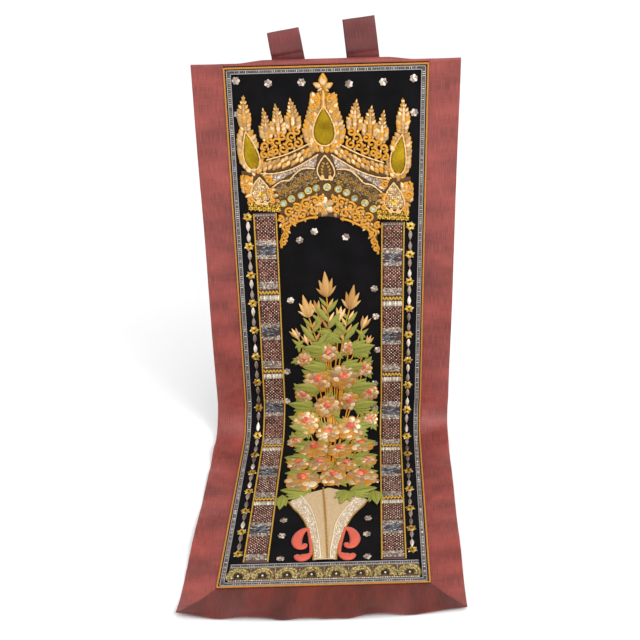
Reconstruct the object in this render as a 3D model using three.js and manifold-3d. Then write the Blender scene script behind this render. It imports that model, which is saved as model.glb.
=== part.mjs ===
// An embroidered wall hanging: a velvet panel with padded appliqué, framed in silk, with two hanging tabs.
// It falls straight from its folded top edge, turns forward in one soft bend and lies out flat below.
// Millimetres. +Z is up, +X is to the right of someone who faces the work, and the work faces -Y.
// The origin is the middle of the panel's top edge, on the front face of the cloth.

import * as THREE from "three";
import { mergeVertices } from "three/addons/utils/BufferGeometryUtils.js";
import Module from "manifold-3d";

const wasm = await Module();
wasm.setup();

// Driving sizes of the cloth
const PANEL = { width: 360, length: 1215, thick: 2 };
const SILK = { side: 58, top: 58, hemAtCorners: 66, hemBelly: 14, thick: 1.6 };
const GAP = 0.3; // between pieces that are sewn together
const MITRE_GAP = 0.32; // each side of a slanted seam

// How the cloth falls: a straight drop, a bend of one radius, then flat and drifting a little to the left
const DRAPE = { drop: 698, bendRadius: 64, drift: -0.056 };
const BEND_LENGTH = (DRAPE.bendRadius * Math.PI) / 2;

// The top border turns back over the top edge, rounder between the tabs than at the sides
const FOLD = { radiusAtSides: 4, radiusInMiddle: 8, evenTo: 105, fade: 55 };

// Soft waves of the silk: the free edge that moves, the wave's middle along that edge, how far it
// reaches either way, and how far the edge rises off the cloth's own surface
const WAVES = [
  { edge: "left", middle: 140, reach: 130, rise: 4 },
  { edge: "left", middle: 330, reach: 120, rise: -4 },
  { edge: "left", middle: 540, reach: 130, rise: 4 },
  { edge: "left", middle: 700, reach: 80, rise: -3 },
  { edge: "left", middle: 812, reach: 60, rise: 9 },
  { edge: "left", middle: 915, reach: 70, rise: 3 },
  { edge: "left", middle: 1085, reach: 120, rise: 7 },
  { edge: "right", middle: 200, reach: 180, rise: -4 },
  { edge: "right", middle: 470, reach: 130, rise: 4 },
  { edge: "right", middle: 640, reach: 90, rise: -3 },
  { edge: "right", middle: 790, reach: 55, rise: 7 },
  { edge: "right", middle: 930, reach: 100, rise: 4 },
  { edge: "right", middle: 1130, reach: 90, rise: 6 },
  { edge: "hem", middle: -238, reach: 70, rise: 11 },
  { edge: "hem", middle: -118, reach: 62, rise: 7 },
  { edge: "hem", middle: -20, reach: 56, rise: 4 },
  { edge: "hem", middle: 92, reach: 66, rise: 8 },
  { edge: "hem", middle: 238, reach: 90, rise: 6 },
];

// Trim and padding
const CORD = { wide: 5, high: 4.4 };
const BRAID = { outer: 176.8, inner: 164.8, top: 6, wideAtTop: 11, wideAtHem: 9, high: 1.6 };
const FRIEZE = { top: 1168, bottom: 1202, half: 164, high: 2.6 };
const FRIEZE_BRAID_TOP = 1157;
const PILLAR = { inner: 98, outer: 143, topLeft: 277, topRight: 302, bottom: 1154, high: 3 };
const CHAIN = { middle: 153.5, topLeft: 284, topRight: 311, bottom: 1130, rosettes: 15, high: 2.4 };
const ARCH = { high: 3, crown: 287, tip: 360 };
const BY_EYE = { shift: -6, slope: 0.045, slopeBelow: 0.1 }; // the pediment isn't quite square
const FLAME_HIGH = 3.4;
const PAD = { high: 3.2, rim: 0.6 };
const LEAF_HIGH = 1.6;
const ROSE = { high: 3.8, petals: 5, scallop: 0.06 };
const TAB = { wide: 58, thick: 1.6, gapHalf: 5, tail: 26, clear: 15 };

const silk = material("#9a4b49", 0.62);
const velvet = material("#0b0a0c", 0.95);
const goldThread = material("#c98f2c", 0.45, 0.3);
const silverThread = material("#8d8a8c", 0.4, 0.5);
const copperSequin = material("#7a4636", 0.4, 0.4);
const paleGold = material("#d9b26a", 0.45, 0.2);
const oliveVelvet = material("#8f7a14", 0.9);
const leafThread = material("#7f9445", 0.7);
const roseThread = material("#d98f57", 0.5, 0.1);
const creamThread = material("#d8c3a0", 0.6);
const coralThread = material("#d5604a", 0.65);

function material(color, roughness, metalness = 0) {
  return new THREE.MeshStandardMaterial({ color, roughness, metalness, side: THREE.DoubleSide });
}

// The drape

const smooth = (t) => t * t * (3 - 2 * t);
const clamp01 = (t) => Math.min(1, Math.max(0, t));

function foldRadius(u) {
  const share = clamp01((FOLD.evenTo + FOLD.fade - Math.abs(u)) / FOLD.fade);
  return FOLD.radiusAtSides + (FOLD.radiusInMiddle - FOLD.radiusAtSides) * smooth(share);
}

function hemWidth(u, half) {
  return SILK.hemAtCorners + SILK.hemBelly * (1 - (u / half) ** 2);
}

// How far a point of the silk stands off the plain drape
function ripple(u, v) {
  const share = {
    left: clamp01((-u - PANEL.width / 2) / SILK.side),
    right: clamp01((u - PANEL.width / 2) / SILK.side),
    hem: clamp01((v - PANEL.length) / SILK.hemAtCorners),
  };
  let lift = 0;
  for (const wave of WAVES) {
    const along = wave.edge === "hem" ? u : v;
    const away = Math.min(1, Math.abs(along - wave.middle) / wave.reach);
    lift += wave.rise * share[wave.edge] ** 2 * 0.5 * (1 + Math.cos(Math.PI * away));
  }
  return lift;
}

// A point of the flat cloth, u across, v down from the top edge and h out of the face, where it hangs
function place(u, v, h) {
  const out = h + ripple(u, v);
  const { drop, bendRadius } = DRAPE;
  const x = u + DRAPE.drift * Math.max(0, v - drop);
  if (v < 0) {
    const radius = foldRadius(u);
    const turn = Math.min(-v / radius, Math.PI);
    const below = Math.max(0, -v - Math.PI * radius);
    const reach = radius + out;
    return new THREE.Vector3(x, radius - reach * Math.cos(turn), reach * Math.sin(turn) - below);
  }
  if (v <= drop) return new THREE.Vector3(x, -out, -v);
  const turn = Math.min((v - drop) / bendRadius, Math.PI / 2);
  const beyond = Math.max(0, v - drop - BEND_LENGTH);
  const reach = bendRadius - out;
  const y = reach * Math.cos(turn) - bendRadius - beyond;
  return new THREE.Vector3(x, y, -drop - reach * Math.sin(turn));
}

// Solids: each is made flat, with x across, y up the cloth and z out of the face, then laid on the drape

function bare(geometry) {
  const plain = geometry.index ? geometry.toNonIndexed() : geometry.clone();
  for (const name of Object.keys(plain.attributes)) {
    if (name !== "position") plain.deleteAttribute(name);
  }
  return plain;
}

function drape(geometry) {
  const laid = bare(geometry);
  const points = laid.attributes.position;
  for (let i = 0; i < points.count; i++) {
    const at = place(points.getX(i), -points.getY(i), points.getZ(i));
    points.setXYZ(i, at.x, at.y, at.z);
  }
  const closed = mergeVertices(laid, 1e-4);
  closed.computeVertexNormals();
  return closed;
}

// Splits a triangle along a line across the cloth
function splitAt(corners, y) {
  const upper = [];
  const lower = [];
  corners.forEach((from, i) => {
    const to = corners[(i + 1) % 3];
    if (from.y >= y) upper.push(from);
    if (from.y <= y) lower.push(from);
    if ((from.y - y) * (to.y - y) >= 0) return;
    const [low, high] = from.y < to.y ? [from, to] : [to, from];
    const on = low.clone().lerp(high, (y - low.y) / (high.y - low.y)).setY(y);
    upper.push(on);
    lower.push(on);
  });
  const fan = (loop) => loop.slice(2).map((_, i) => [loop[0], loop[i + 1], loop[i + 2]]);
  return [...fan(upper), ...fan(lower)];
}

// Scores a flat solid along the rows of the bend, so that its facets can follow the bend
function score(geometry) {
  const points = bare(geometry).attributes.position;
  let triangles = [];
  for (let i = 0; i < points.count; i += 3) {
    triangles.push([0, 1, 2].map((k) => new THREE.Vector3().fromBufferAttribute(points, i + k)));
  }
  for (const v of BEND_ROWS) triangles = triangles.flatMap((corners) => splitAt(corners, -v));
  return new THREE.BufferGeometry().setFromPoints(triangles.flat());
}

function lay(geometry) {
  return drape(score(geometry));
}

function solidOf(geometry) {
  const merged = mergeVertices(bare(geometry), 1e-4);
  return new wasm.Manifold(
    new wasm.Mesh({
      numProp: 3,
      vertProperties: merged.attributes.position.array,
      triVerts: new Uint32Array(merged.index.array),
    }),
  );
}

function geometryOf(solid) {
  const { vertProperties, triVerts } = solid.getMesh();
  const geometry = new THREE.BufferGeometry();
  geometry.setAttribute("position", new THREE.BufferAttribute(vertProperties, 3));
  geometry.setIndex(new THREE.BufferAttribute(triVerts, 1));
  return geometry;
}

function fuse(shapes, high, lift) {
  return shapes.map((shape) => solidOf(cut(shape, high, lift))).reduce((all, next) => all.add(next));
}

// A sheet of cloth from a box with rows and columns: at(across, row) gives each point's u and v
function sheet(columns, rowCount, thick, at, face = 0) {
  const box = bare(new THREE.BoxGeometry(1, 1, 1, columns, rowCount, 1));
  const points = box.attributes.position;
  for (let i = 0; i < points.count; i++) {
    const across = points.getX(i) + 0.5;
    const row = Math.round((0.5 - points.getY(i)) * rowCount);
    const { u, v } = at(across, row);
    points.setXYZ(i, u, -v, face + (points.getZ(i) - 0.5) * thick);
  }
  return drape(box);
}

function polygon(points) {
  return new THREE.Shape(points.map(([u, v]) => new THREE.Vector2(u, -v)));
}

// A flat motif cut from a shape, lifted off the cloth; a rim gives it a bevelled edge
function cut(shape, high, lift = GAP, rim = 0) {
  const geometry = new THREE.ExtrudeGeometry(shape, {
    depth: high - 2 * rim,
    curveSegments: 6,
    bevelEnabled: rim > 0,
    bevelThickness: rim,
    bevelSize: rim,
    bevelOffset: -rim,
    bevelSegments: 1,
  });
  return geometry.translate(0, 0, lift + rim);
}

// Rows along the cloth: each span runs to its end in even steps of about the given size
function rows(start, ...spans) {
  const list = [start];
  for (const { to, step } of spans) {
    const from = list.at(-1);
    const count = Math.max(1, Math.round(Math.abs(to - from) / step));
    for (let i = 1; i <= count; i++) list.push(from + ((to - from) * i) / count);
  }
  return list;
}

const lerp = THREE.MathUtils.lerp;
const BEND_END = DRAPE.drop + BEND_LENGTH;
const TIP = 0.7; // a mitre stops this far short of its point
const tightTurn = Math.PI * FOLD.radiusAtSides;
const wideTurn = Math.PI * FOLD.radiusInMiddle;
const bendSpan = { to: BEND_END, step: BEND_LENGTH / 9 };
const BEND_ROWS = rows(DRAPE.drop, bendSpan);
const foldSpans = [
  { to: -wideTurn, step: 16 },
  { to: -tightTurn, step: 3.2 },
  { to: 0, step: 2.1 },
];

// The cloth pieces

function velvetPanel() {
  const list = rows(GAP / 2, { to: DRAPE.drop, step: 700 }, bendSpan, {
    to: PANEL.length - GAP / 2,
    step: 700,
  });
  const half = PANEL.width / 2 - GAP / 2;
  return sheet(1, list.length - 1, PANEL.thick, (across, row) => ({
    u: lerp(-half, half, across),
    v: list[row],
  }));
}

function sideBorder(side) {
  const list = rows(
    -SILK.top + TIP,
    ...foldSpans,
    { to: DRAPE.drop, step: 29 },
    bendSpan,
    { to: PANEL.length, step: 26 },
    { to: PANEL.length + SILK.hemAtCorners - TIP, step: 22 },
  );
  const outer = PANEL.width / 2 + SILK.side;
  const inner = (v) => {
    const aboveTop = Math.max(0, -v) / SILK.top;
    const belowHem = Math.max(0, v - PANEL.length) / SILK.hemAtCorners;
    return PANEL.width / 2 + MITRE_GAP + SILK.side * (aboveTop + belowHem);
  };
  return sheet(3, list.length - 1, SILK.thick, (across, row) => {
    const v = list[row];
    const edges = side < 0 ? [-outer, -inner(v)] : [inner(v), outer];
    return { u: lerp(edges[0], edges[1], across), v };
  });
}

function topBorder() {
  const list = rows(-SILK.top, ...foldSpans);
  list[list.length - 1] = -GAP / 2;
  return sheet(22, list.length - 1, SILK.thick, (across, row) => {
    const v = list[row];
    const half = PANEL.width / 2 - MITRE_GAP - v * (SILK.side / SILK.top);
    return { u: lerp(-half, half, across), v };
  });
}

function hemBorder() {
  const rowCount = 4;
  return sheet(24, rowCount, SILK.thick, (across, row) => {
    const down = row / rowCount;
    const half = PANEL.width / 2 - MITRE_GAP + SILK.side * down;
    const u = lerp(-half, half, across);
    return { u, v: PANEL.length + GAP / 2 + down * hemWidth(u, half) };
  });
}

// A tab is a strip folded double into a loop, its two ends sewn together behind the top border
function tab(rise) {
  const loopHalf = (rise - TAB.clear) / 2;
  const middle = TAB.clear + loopHalf;
  const neck = Math.asin((TAB.thick + GAP / 2) / (TAB.gapHalf + TAB.thick));
  const section = new THREE.Shape();
  section.moveTo(-TAB.thick - GAP / 2, -TAB.tail);
  section.lineTo(TAB.thick + GAP / 2, -TAB.tail);
  section.absellipse(
    0,
    middle,
    TAB.gapHalf + TAB.thick,
    loopHalf,
    -Math.PI / 2 + neck,
    (3 * Math.PI) / 2 - neck,
    false,
  );
  section.closePath();
  const hole = new THREE.Path();
  hole.absellipse(0, middle, TAB.gapHalf, loopHalf - TAB.thick, 0, 2 * Math.PI, true);
  section.holes.push(hole);
  const strip = new THREE.ExtrudeGeometry(section, {
    depth: TAB.wide,
    curveSegments: 20,
    bevelEnabled: false,
  });
  strip.translate(0, 0, -TAB.wide / 2);
  // The section's x runs back, its y up, and the strip's width lies along X
  strip.applyMatrix4(
    new THREE.Matrix4().makeBasis(
      new THREE.Vector3(0, 1, 0),
      new THREE.Vector3(0, 0, 1),
      new THREE.Vector3(1, 0, 0),
    ),
  );
  const closed = mergeVertices(bare(strip), 1e-4);
  closed.computeVertexNormals();
  return closed;
}

// Trim laid round the panel

function oblong(half, top, bottom) {
  return [
    [-half, bottom],
    [half, bottom],
    [half, top],
    [-half, top],
  ];
}

function ring(outer, inner) {
  const shape = polygon(outer);
  shape.holes.push(new THREE.Path(polygon(inner).getPoints()));
  return shape;
}

function goldCord() {
  const half = PANEL.width / 2 + CORD.wide / 2;
  const bottom = PANEL.length + CORD.wide / 2;
  const outer = oblong(half, GAP, bottom);
  const inner = oblong(half - CORD.wide, GAP + CORD.wide, bottom - CORD.wide);
  return lay(cut(ring(outer, inner), CORD.high, GAP, 1.2));
}

function silverBraid() {
  const bottom = PANEL.length - CORD.wide / 2 - 0.8;
  const outer = oblong(BRAID.outer, BRAID.top, bottom);
  const inner = oblong(BRAID.inner, BRAID.top + BRAID.wideAtTop, bottom - BRAID.wideAtHem);
  return lay(cut(ring(outer, inner), BRAID.high));
}

function bar(half, top, bottom, high) {
  return lay(cut(polygon(oblong(half, top, bottom)), high));
}

function pillar(side) {
  const { inner, outer, bottom, high } = PILLAR;
  const top = side < 0 ? PILLAR.topLeft : PILLAR.topRight;
  const strip = polygon(oblong((outer - inner) / 2, top, bottom));
  return lay(cut(strip, high).translate((side * (inner + outer)) / 2, 0, 0));
}

// One link of the chain of rosettes: half widths along it, from one rosette's middle to the next
const LINK = [
  { along: 0, half: 10 },
  { along: 0.1, half: 8.6 },
  { along: 0.17, half: 3.4 },
  { along: 0.3, half: 5 },
  { along: 0.5, half: 1.8 },
  { along: 0.7, half: 5 },
  { along: 0.83, half: 3.4 },
  { along: 0.9, half: 8.6 },
];

function chain(side) {
  const top = side < 0 ? CHAIN.topLeft : CHAIN.topRight;
  const pitch = (CHAIN.bottom - top) / (CHAIN.rosettes - 1);
  const sizes = [{ v: top - 9, half: 4 }];
  for (let i = 0; i < CHAIN.rosettes - 1; i++) {
    for (const { along, half } of LINK) sizes.push({ v: top + (i + along) * pitch, half });
  }
  sizes.push({ v: CHAIN.bottom, half: LINK[0].half }, { v: CHAIN.bottom + 9, half: 4 });
  const strip = (across, row) => {
    const { v, half } = sizes[row];
    return { u: side * CHAIN.middle + lerp(-half, half, across), v };
  };
  return sheet(1, sizes.length - 1, CHAIN.high, strip, GAP + CHAIN.high);
}

// The pediment: a swagged arch that carries a middle flame, two horns and two rows of spires

// Half widths of a flame at each height v, with the sideways place of its middle
const MIDDLE_FLAME = [
  { v: 156, out: 0, half: 16 },
  { v: 142, out: 0, half: 33 },
  { v: 122, out: 0, half: 37 },
  { v: 100, out: 0, half: 31 },
  { v: 78, out: 0, half: 24 },
  { v: 54, out: 0, half: 21 },
  { v: 49, out: 0, half: 6 },
  { v: 46, out: 0, half: 6 },
  { v: 40, out: 0, half: 13 },
  { v: 32, out: 0, half: 8 },
  { v: 18.5, out: 0, half: 0.8 },
];
const HORN = [
  { v: 201, out: 132, half: 12 },
  { v: 185, out: 135, half: 20 },
  { v: 160, out: 138, half: 19 },
  { v: 136, out: 141, half: 15 },
  { v: 120, out: 142, half: 8 },
  { v: 100, out: 143, half: 11 },
  { v: 82, out: 144, half: 8 },
  { v: 58, out: 142, half: 0.8 },
];
const SPIRE = [
  { up: 0, half: 15, lean: 0 },
  { up: 30, half: 12, lean: 0 },
  { up: 58, half: 13, lean: 1 },
  { up: 66, half: 8, lean: 1 },
  { up: 80, half: 6, lean: 2 },
  { up: 96, half: 0.8, lean: 5 },
];
const SPIRE_FEET = [
  { out: 55, v: 157, wide: 1 },
  { out: 82, v: 168, wide: 1 },
  { out: 104, v: 176, wide: 0.8 },
];
// The arch's outline from its middle out: along the swag, round the horn's seat and capital, to the tip
const ARCH_EDGE = [
  { out: 16, v: 157.5 },
  { out: 34, v: 148.5 },
  { out: 67, v: 164.5 },
  { out: 112, v: 179.5 },
  { out: 113, v: 203 },
  { out: 156, v: 203 },
  { out: 156, v: 248 },
  { out: 149, v: 270 },
  { out: 149, v: 285 },
  { out: 92, v: 285 },
  { out: 90, v: ARCH.tip },
  { out: 80, v: 318 },
  { out: 55, v: 299 },
  { out: 21, v: 289 },
];

// The pediment was laid out by eye: its middle leans left at the top, and its right side hangs lower
function byEye(u, v) {
  const low = clamp01((v - 160) / 120);
  const slope = lerp(BY_EYE.slope, BY_EYE.slopeBelow, low);
  return [u + BY_EYE.shift * (1 - low), v + slope * u];
}

function flame(table, side) {
  const right = table.map(({ v, out, half }) => byEye(side * out + half, v));
  const left = table.map(({ v, out, half }) => byEye(side * out - half, v));
  return polygon([...right, ...left.reverse()]);
}

function middleFlame() {
  return lay(cut(flame(MIDDLE_FLAME, 1), FLAME_HIGH));
}

function horn(side) {
  return lay(cut(flame(HORN, side), FLAME_HIGH));
}

// Three spires that stand foot to foot on the swag
function spires(side) {
  const feet = SPIRE_FEET.map((foot) => {
    const table = SPIRE.map(({ up, half, lean }) => {
      const along = (foot.out - SPIRE_FEET[0].out) / (SPIRE_FEET[2].out - SPIRE_FEET[0].out);
      return { v: foot.v - up - (up ? 0 : 9 - 5 * along), out: foot.out + lean, half: half * foot.wide };
    });
    return flame(table, side);
  });
  return lay(geometryOf(fuse(feet, FLAME_HIGH)));
}

function arch() {
  const right = ARCH_EDGE.map(({ out, v }) => byEye(out, v));
  const left = ARCH_EDGE.map(({ out, v }) => byEye(-out, v)).reverse();
  return lay(cut(polygon([...right, byEye(0, ARCH.crown), ...left]), ARCH.high));
}

// A padded teardrop, point up, that sits on a flame
function teardrop(u, point, base, half, lean) {
  const steps = 20;
  const points = [];
  for (let i = 0; i < steps; i++) {
    const angle = (2 * Math.PI * i) / steps;
    const down = (1 - Math.cos(angle)) / 2;
    const across = half * 1.3 * Math.sin(angle) * Math.sin(angle / 2);
    points.push(byEye(u + lean * (1 - down) ** 2 - across, lerp(point, base, down)));
  }
  return lay(cut(polygon(points), PAD.high, GAP + FLAME_HIGH + GAP, PAD.rim));
}

// The vase and its flowers

const VASE = [
  { v: 1152, half: 20 },
  { v: 1130, half: 21.5 },
  { v: 1107, half: 25 },
  { v: 1080, half: 31.5 },
  { v: 1052, half: 39 },
  { v: 1027, half: 50 },
  { v: 1003, half: 66 },
  { v: 986, half: 75 },
  { v: 963, half: 52 },
  { v: 947.5, half: 3 },
];

function vase() {
  const right = VASE.map(({ v, half }) => [half, v]);
  const left = VASE.map(({ v, half }) => [-half, v]).reverse();
  return lay(cut(polygon([...right, ...left]), 3.2, GAP, 0.9));
}

// A handle is one open scroll, thick at its middle and fine at both ends
function handle(side) {
  const SCROLL = { u: 40, v: 1112, reach: 20, tall: 40, from: -1.5, to: 2, steps: 12, thick: 13 };
  const outer = [];
  const inner = [];
  for (let i = 0; i <= SCROLL.steps; i++) {
    const share = i / SCROLL.steps;
    const angle = lerp(SCROLL.from, SCROLL.to, share);
    const waist = (SCROLL.thick / 2) * (0.25 + 0.75 * Math.sin(Math.PI * share));
    const at = (grow) => [
      side * (SCROLL.u + (SCROLL.reach - SCROLL.thick / 2 + grow) * Math.cos(angle)),
      SCROLL.v + (SCROLL.tall - SCROLL.thick / 2 + grow) * Math.sin(angle),
    ];
    outer.push(at(waist));
    inner.push(at(-waist));
  }
  return lay(cut(polygon([...outer, ...inner.reverse()]), 3));
}

const ROSES = [
  { u: -52, v: 922, r: 27 },
  { u: 8, v: 912, r: 22 },
  { u: 62, v: 915, r: 25 },
  { u: -20, v: 868, r: 19 },
  { u: 32, v: 874, r: 17 },
  { u: -64, v: 866, r: 18 },
  { u: 74, v: 860, r: 15 },
  { u: -34, v: 818, r: 24 },
  { u: 18, v: 824, r: 21 },
  { u: 62, v: 806, r: 20 },
  { u: -74, v: 790, r: 14 },
  { u: -8, v: 768, r: 20 },
  { u: 38, v: 758, r: 23 },
  { u: -54, v: 742, r: 22 },
  { u: 78, v: 738, r: 13 },
  { u: -12, v: 706, r: 21 },
  { u: 34, v: 694, r: 18 },
  { u: 74, v: 676, r: 16 },
  { u: -60, v: 676, r: 15 },
  { u: -30, v: 642, r: 22 },
  { u: 22, v: 636, r: 24 },
  { u: 64, v: 618, r: 14 },
  { u: -56, v: 594, r: 13 },
  { u: -8, v: 580, r: 17 },
  { u: 34, v: 570, r: 12 },
];
// How far leaf tips reach to each side of the spray, from the mouth of the vase up
const LEAF_TIPS = [
  { v: 960, left: 93, right: 92 },
  { v: 906, left: 88, right: 94 },
  { v: 852, left: 93, right: 94 },
  { v: 806, left: 84, right: 90 },
  { v: 758, left: 90, right: 86 },
  { v: 708, left: 93, right: 92 },
  { v: 664, left: 78, right: 86 },
  { v: 618, left: 62, right: 70 },
  { v: 574, left: 58, right: 86 },
  { v: 540, left: 30, right: 34 },
];
const LEAF = { droop: 9, notch: 17 }; // a tip points up a little, and the cut between two leaves goes in

function rose({ u, v, r }) {
  const { high, petals, scallop } = ROSE;
  const profile = [
    [0, 0],
    [r, 0],
    [r, high * 0.36],
    [r * 0.62, high * 0.84],
    [0, high],
  ].map(([x, y]) => new THREE.Vector2(x, y));
  const dome = bare(new THREE.LatheGeometry(profile, petals * 2)).rotateX(Math.PI / 2);
  const points = dome.attributes.position;
  for (let i = 0; i < points.count; i++) {
    const [x, y] = [points.getX(i), points.getY(i)];
    const grow = 1 + scallop * Math.cos(petals * Math.atan2(y, x));
    points.setXY(i, x * grow, y * grow);
  }
  return lay(dome.translate(u, -v, LEAF_HIGH + 3 * GAP));
}

// The leafy ground of the spray, cut in one piece with a leaf tip at every row
function foliage() {
  const edge = (side, reach) => {
    const points = [];
    LEAF_TIPS.forEach((row, i) => {
      points.push([side * row[reach], row.v - LEAF.droop]);
      const next = LEAF_TIPS[i + 1];
      if (!next) return;
      const inward = Math.min(row[reach], next[reach]) - LEAF.notch;
      points.push([side * inward, (row.v + next.v) / 2 - LEAF.droop]);
    });
    return points;
  };
  const foot = [
    [-52, 957],
    [0, 941],
    [52, 957],
  ];
  const top = [
    [14, 546],
    [3, 524],
    [-8, 546],
  ];
  return lay(cut(polygon([...foot, ...edge(1, "right"), ...top, ...edge(-1, "left").reverse()]), LEAF_HIGH));
}

const LILIES = [
  { u: -44, v: 500, tall: 66, lean: -14, foot: 552 },
  { u: -8, v: 456, tall: 72, lean: -4, foot: 520 },
  { u: 36, v: 484, tall: 70, lean: 12, foot: 534 },
];

// A lily is three petals that open from one cup, on a short stem
function lily({ u, v, tall, lean, foot }) {
  const across = 6;
  const petals = [-1, 0, 1].map((side) => {
    const tip = [u + lean + side * 17, v - tall * (side ? 0.82 : 1)];
    const belly = [u + lean * 0.5 + side * 10, v - tall * 0.55];
    return polygon([
      [u - across / 2, v],
      [u + across / 2, v],
      [belly[0] + across, belly[1]],
      tip,
      [belly[0] - across, belly[1]],
    ]);
  });
  const stem = polygon([
    [u * 0.6 - 2, foot],
    [u * 0.6 + 2, foot],
    [u + across / 2, v - 4],
    [u - across / 2, v - 4],
  ]);
  return lay(geometryOf(fuse([stem, ...petals], 2.6)));
}

// The hanging

const hanging = new THREE.Group();

function add(name, geometry, look) {
  const mesh = new THREE.Mesh(geometry, look);
  mesh.name = name;
  hanging.add(mesh);
  return mesh;
}

add("velvet_panel", velvetPanel(), velvet);
add("border_left", sideBorder(-1), silk);
add("border_right", sideBorder(1), silk);
add("border_top", topBorder(), silk);
add("border_hem", hemBorder(), silk);

const TABS = [
  { name: "tab_left", u: -65, rise: 58, lean: 9 },
  { name: "tab_right", u: 67, rise: 76, lean: 6.5 },
];
for (const { name, u, rise, lean } of TABS) {
  const strip = add(name, tab(rise), silk);
  strip.position.set(u, 2 * FOLD.radiusInMiddle + GAP + TAB.thick + GAP / 2, 0);
  strip.rotation.y = THREE.MathUtils.degToRad(-lean);
}

add("gold_cord", goldCord(), goldThread);
add("silver_braid", silverBraid(), silverThread);
add("frieze_braid", bar(FRIEZE.half, FRIEZE_BRAID_TOP, FRIEZE.top - 1, BRAID.high), silverThread);
add("frieze", bar(FRIEZE.half, FRIEZE.top, FRIEZE.bottom, FRIEZE.high), paleGold);
add("pillar_left", pillar(-1), copperSequin);
add("pillar_right", pillar(1), copperSequin);

add("arch", arch(), goldThread);
add("middle_flame", middleFlame(), goldThread);
for (const [name, side] of [["left", -1], ["right", 1]]) {
  add(`horn_${name}`, horn(side), goldThread);
  add(`spires_${name}`, spires(side), goldThread);
  add(`teardrop_${name}`, teardrop(side * 133, 124, 199, 13, side * 9), oliveVelvet);
  add(`chain_${name}`, chain(side), silverThread);
}
add("teardrop_middle", teardrop(0, 74, 148, 18, 0), oliveVelvet);

add("vase", vase(), creamThread);
add("handle_left", handle(-1), coralThread);
add("handle_right", handle(1), coralThread);
add("foliage", foliage(), leafThread);
ROSES.forEach((row, i) => add(`rose_${String(i + 1).padStart(2, "0")}`, rose(row), roseThread));
LILIES.forEach((row, i) => add(`lily_${i + 1}`, lily(row), paleGold));

export default hanging;
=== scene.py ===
# %% [markdown]
# # An embroidered wall hanging
#
# The real thing is a long black velvet panel, thick with sequins, beads and couched gold cord, in a wide
# border of rose silk. It falls from its top edge, bends once and lies out on the floor towards us.
# We sew everything flat first, as a needleworker would at a frame, and only then hang it: one rule
# carries every point of the flat work to its place in the room.

import math

import bmesh
import bpy
import numpy as np
from mathutils import Matrix, Vector


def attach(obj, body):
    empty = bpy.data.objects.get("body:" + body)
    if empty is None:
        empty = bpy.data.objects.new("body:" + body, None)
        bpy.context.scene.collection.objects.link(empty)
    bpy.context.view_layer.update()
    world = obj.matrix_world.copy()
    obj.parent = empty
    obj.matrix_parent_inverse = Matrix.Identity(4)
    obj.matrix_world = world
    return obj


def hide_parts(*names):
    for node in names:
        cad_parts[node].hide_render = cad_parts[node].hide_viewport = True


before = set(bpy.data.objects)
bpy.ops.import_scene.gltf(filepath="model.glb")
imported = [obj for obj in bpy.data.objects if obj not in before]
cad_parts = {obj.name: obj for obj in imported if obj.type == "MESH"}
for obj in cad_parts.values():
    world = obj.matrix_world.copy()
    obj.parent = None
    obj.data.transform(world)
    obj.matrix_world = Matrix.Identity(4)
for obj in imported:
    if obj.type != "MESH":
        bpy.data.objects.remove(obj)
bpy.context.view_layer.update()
print("solids loaded:", len(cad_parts), "nodes")

# %% [markdown]
# ## The drape
#
# A point of the flat work has three numbers in millimetres: x across, y up the cloth (so y is minus the
# distance v below the top edge) and z out of the face. The rule below turns the top border back over the
# top edge, lets the cloth drop, rolls it round one soft bend and lays it along the floor. The border's
# free edges also wave a little. A cloth simulation could do this too, but a written rule keeps thousands
# of tiny beads exactly on the velvet.

# %% One rule from the flat work to the room
MM = 0.001
PANEL_HALF, PANEL_LENGTH = 180.0, 1215.0
SIDE_SILK, TOP_SILK, HEM_CORNER, HEM_BELLY = 58.0, 58.0, 66.0, 14.0
DROP, BEND_RADIUS, DRIFT = 698.0, 64.0, -0.056
BEND_LENGTH = BEND_RADIUS * math.pi / 2
FOLD_SIDES, FOLD_MIDDLE, FOLD_EVEN, FOLD_FADE = 4.0, 8.0, 105.0, 55.0

# Waves of the free edges: edge, middle along that edge, reach either way, rise
WAVES = [
    ("left", 140, 130, 4), ("left", 330, 120, -4), ("left", 540, 130, 4), ("left", 700, 80, -3),
    ("left", 812, 60, 9), ("left", 915, 70, 3), ("left", 1085, 120, 7), ("right", 200, 180, -4),
    ("right", 470, 130, 4), ("right", 640, 90, -3), ("right", 790, 55, 7), ("right", 930, 100, 4),
    ("right", 1130, 90, 6), ("hem", -238, 70, 11), ("hem", -118, 62, 7), ("hem", -20, 56, 4),
    ("hem", 92, 66, 8), ("hem", 238, 90, 6),
]


def smooth(t):
    """From 0 to 1 with a soft start and end."""
    t = np.clip(t, 0, 1)
    return t * t * (3 - 2 * t)


def ripple(u, v):
    """How far the free edges of the border stand off at each place."""
    share = {
        "left": np.clip((-u - PANEL_HALF) / SIDE_SILK, 0, 1) ** 2,
        "right": np.clip((u - PANEL_HALF) / SIDE_SILK, 0, 1) ** 2,
        "hem": np.clip((v - PANEL_LENGTH) / HEM_CORNER, 0, 1) ** 2,
    }
    lift = np.zeros_like(u)
    for edge, middle, reach, rise in WAVES:
        away = np.minimum(1, np.abs((u if edge == "hem" else v) - middle) / reach)
        lift += rise * share[edge] * 0.5 * (1 + np.cos(np.pi * away))
    return lift


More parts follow.
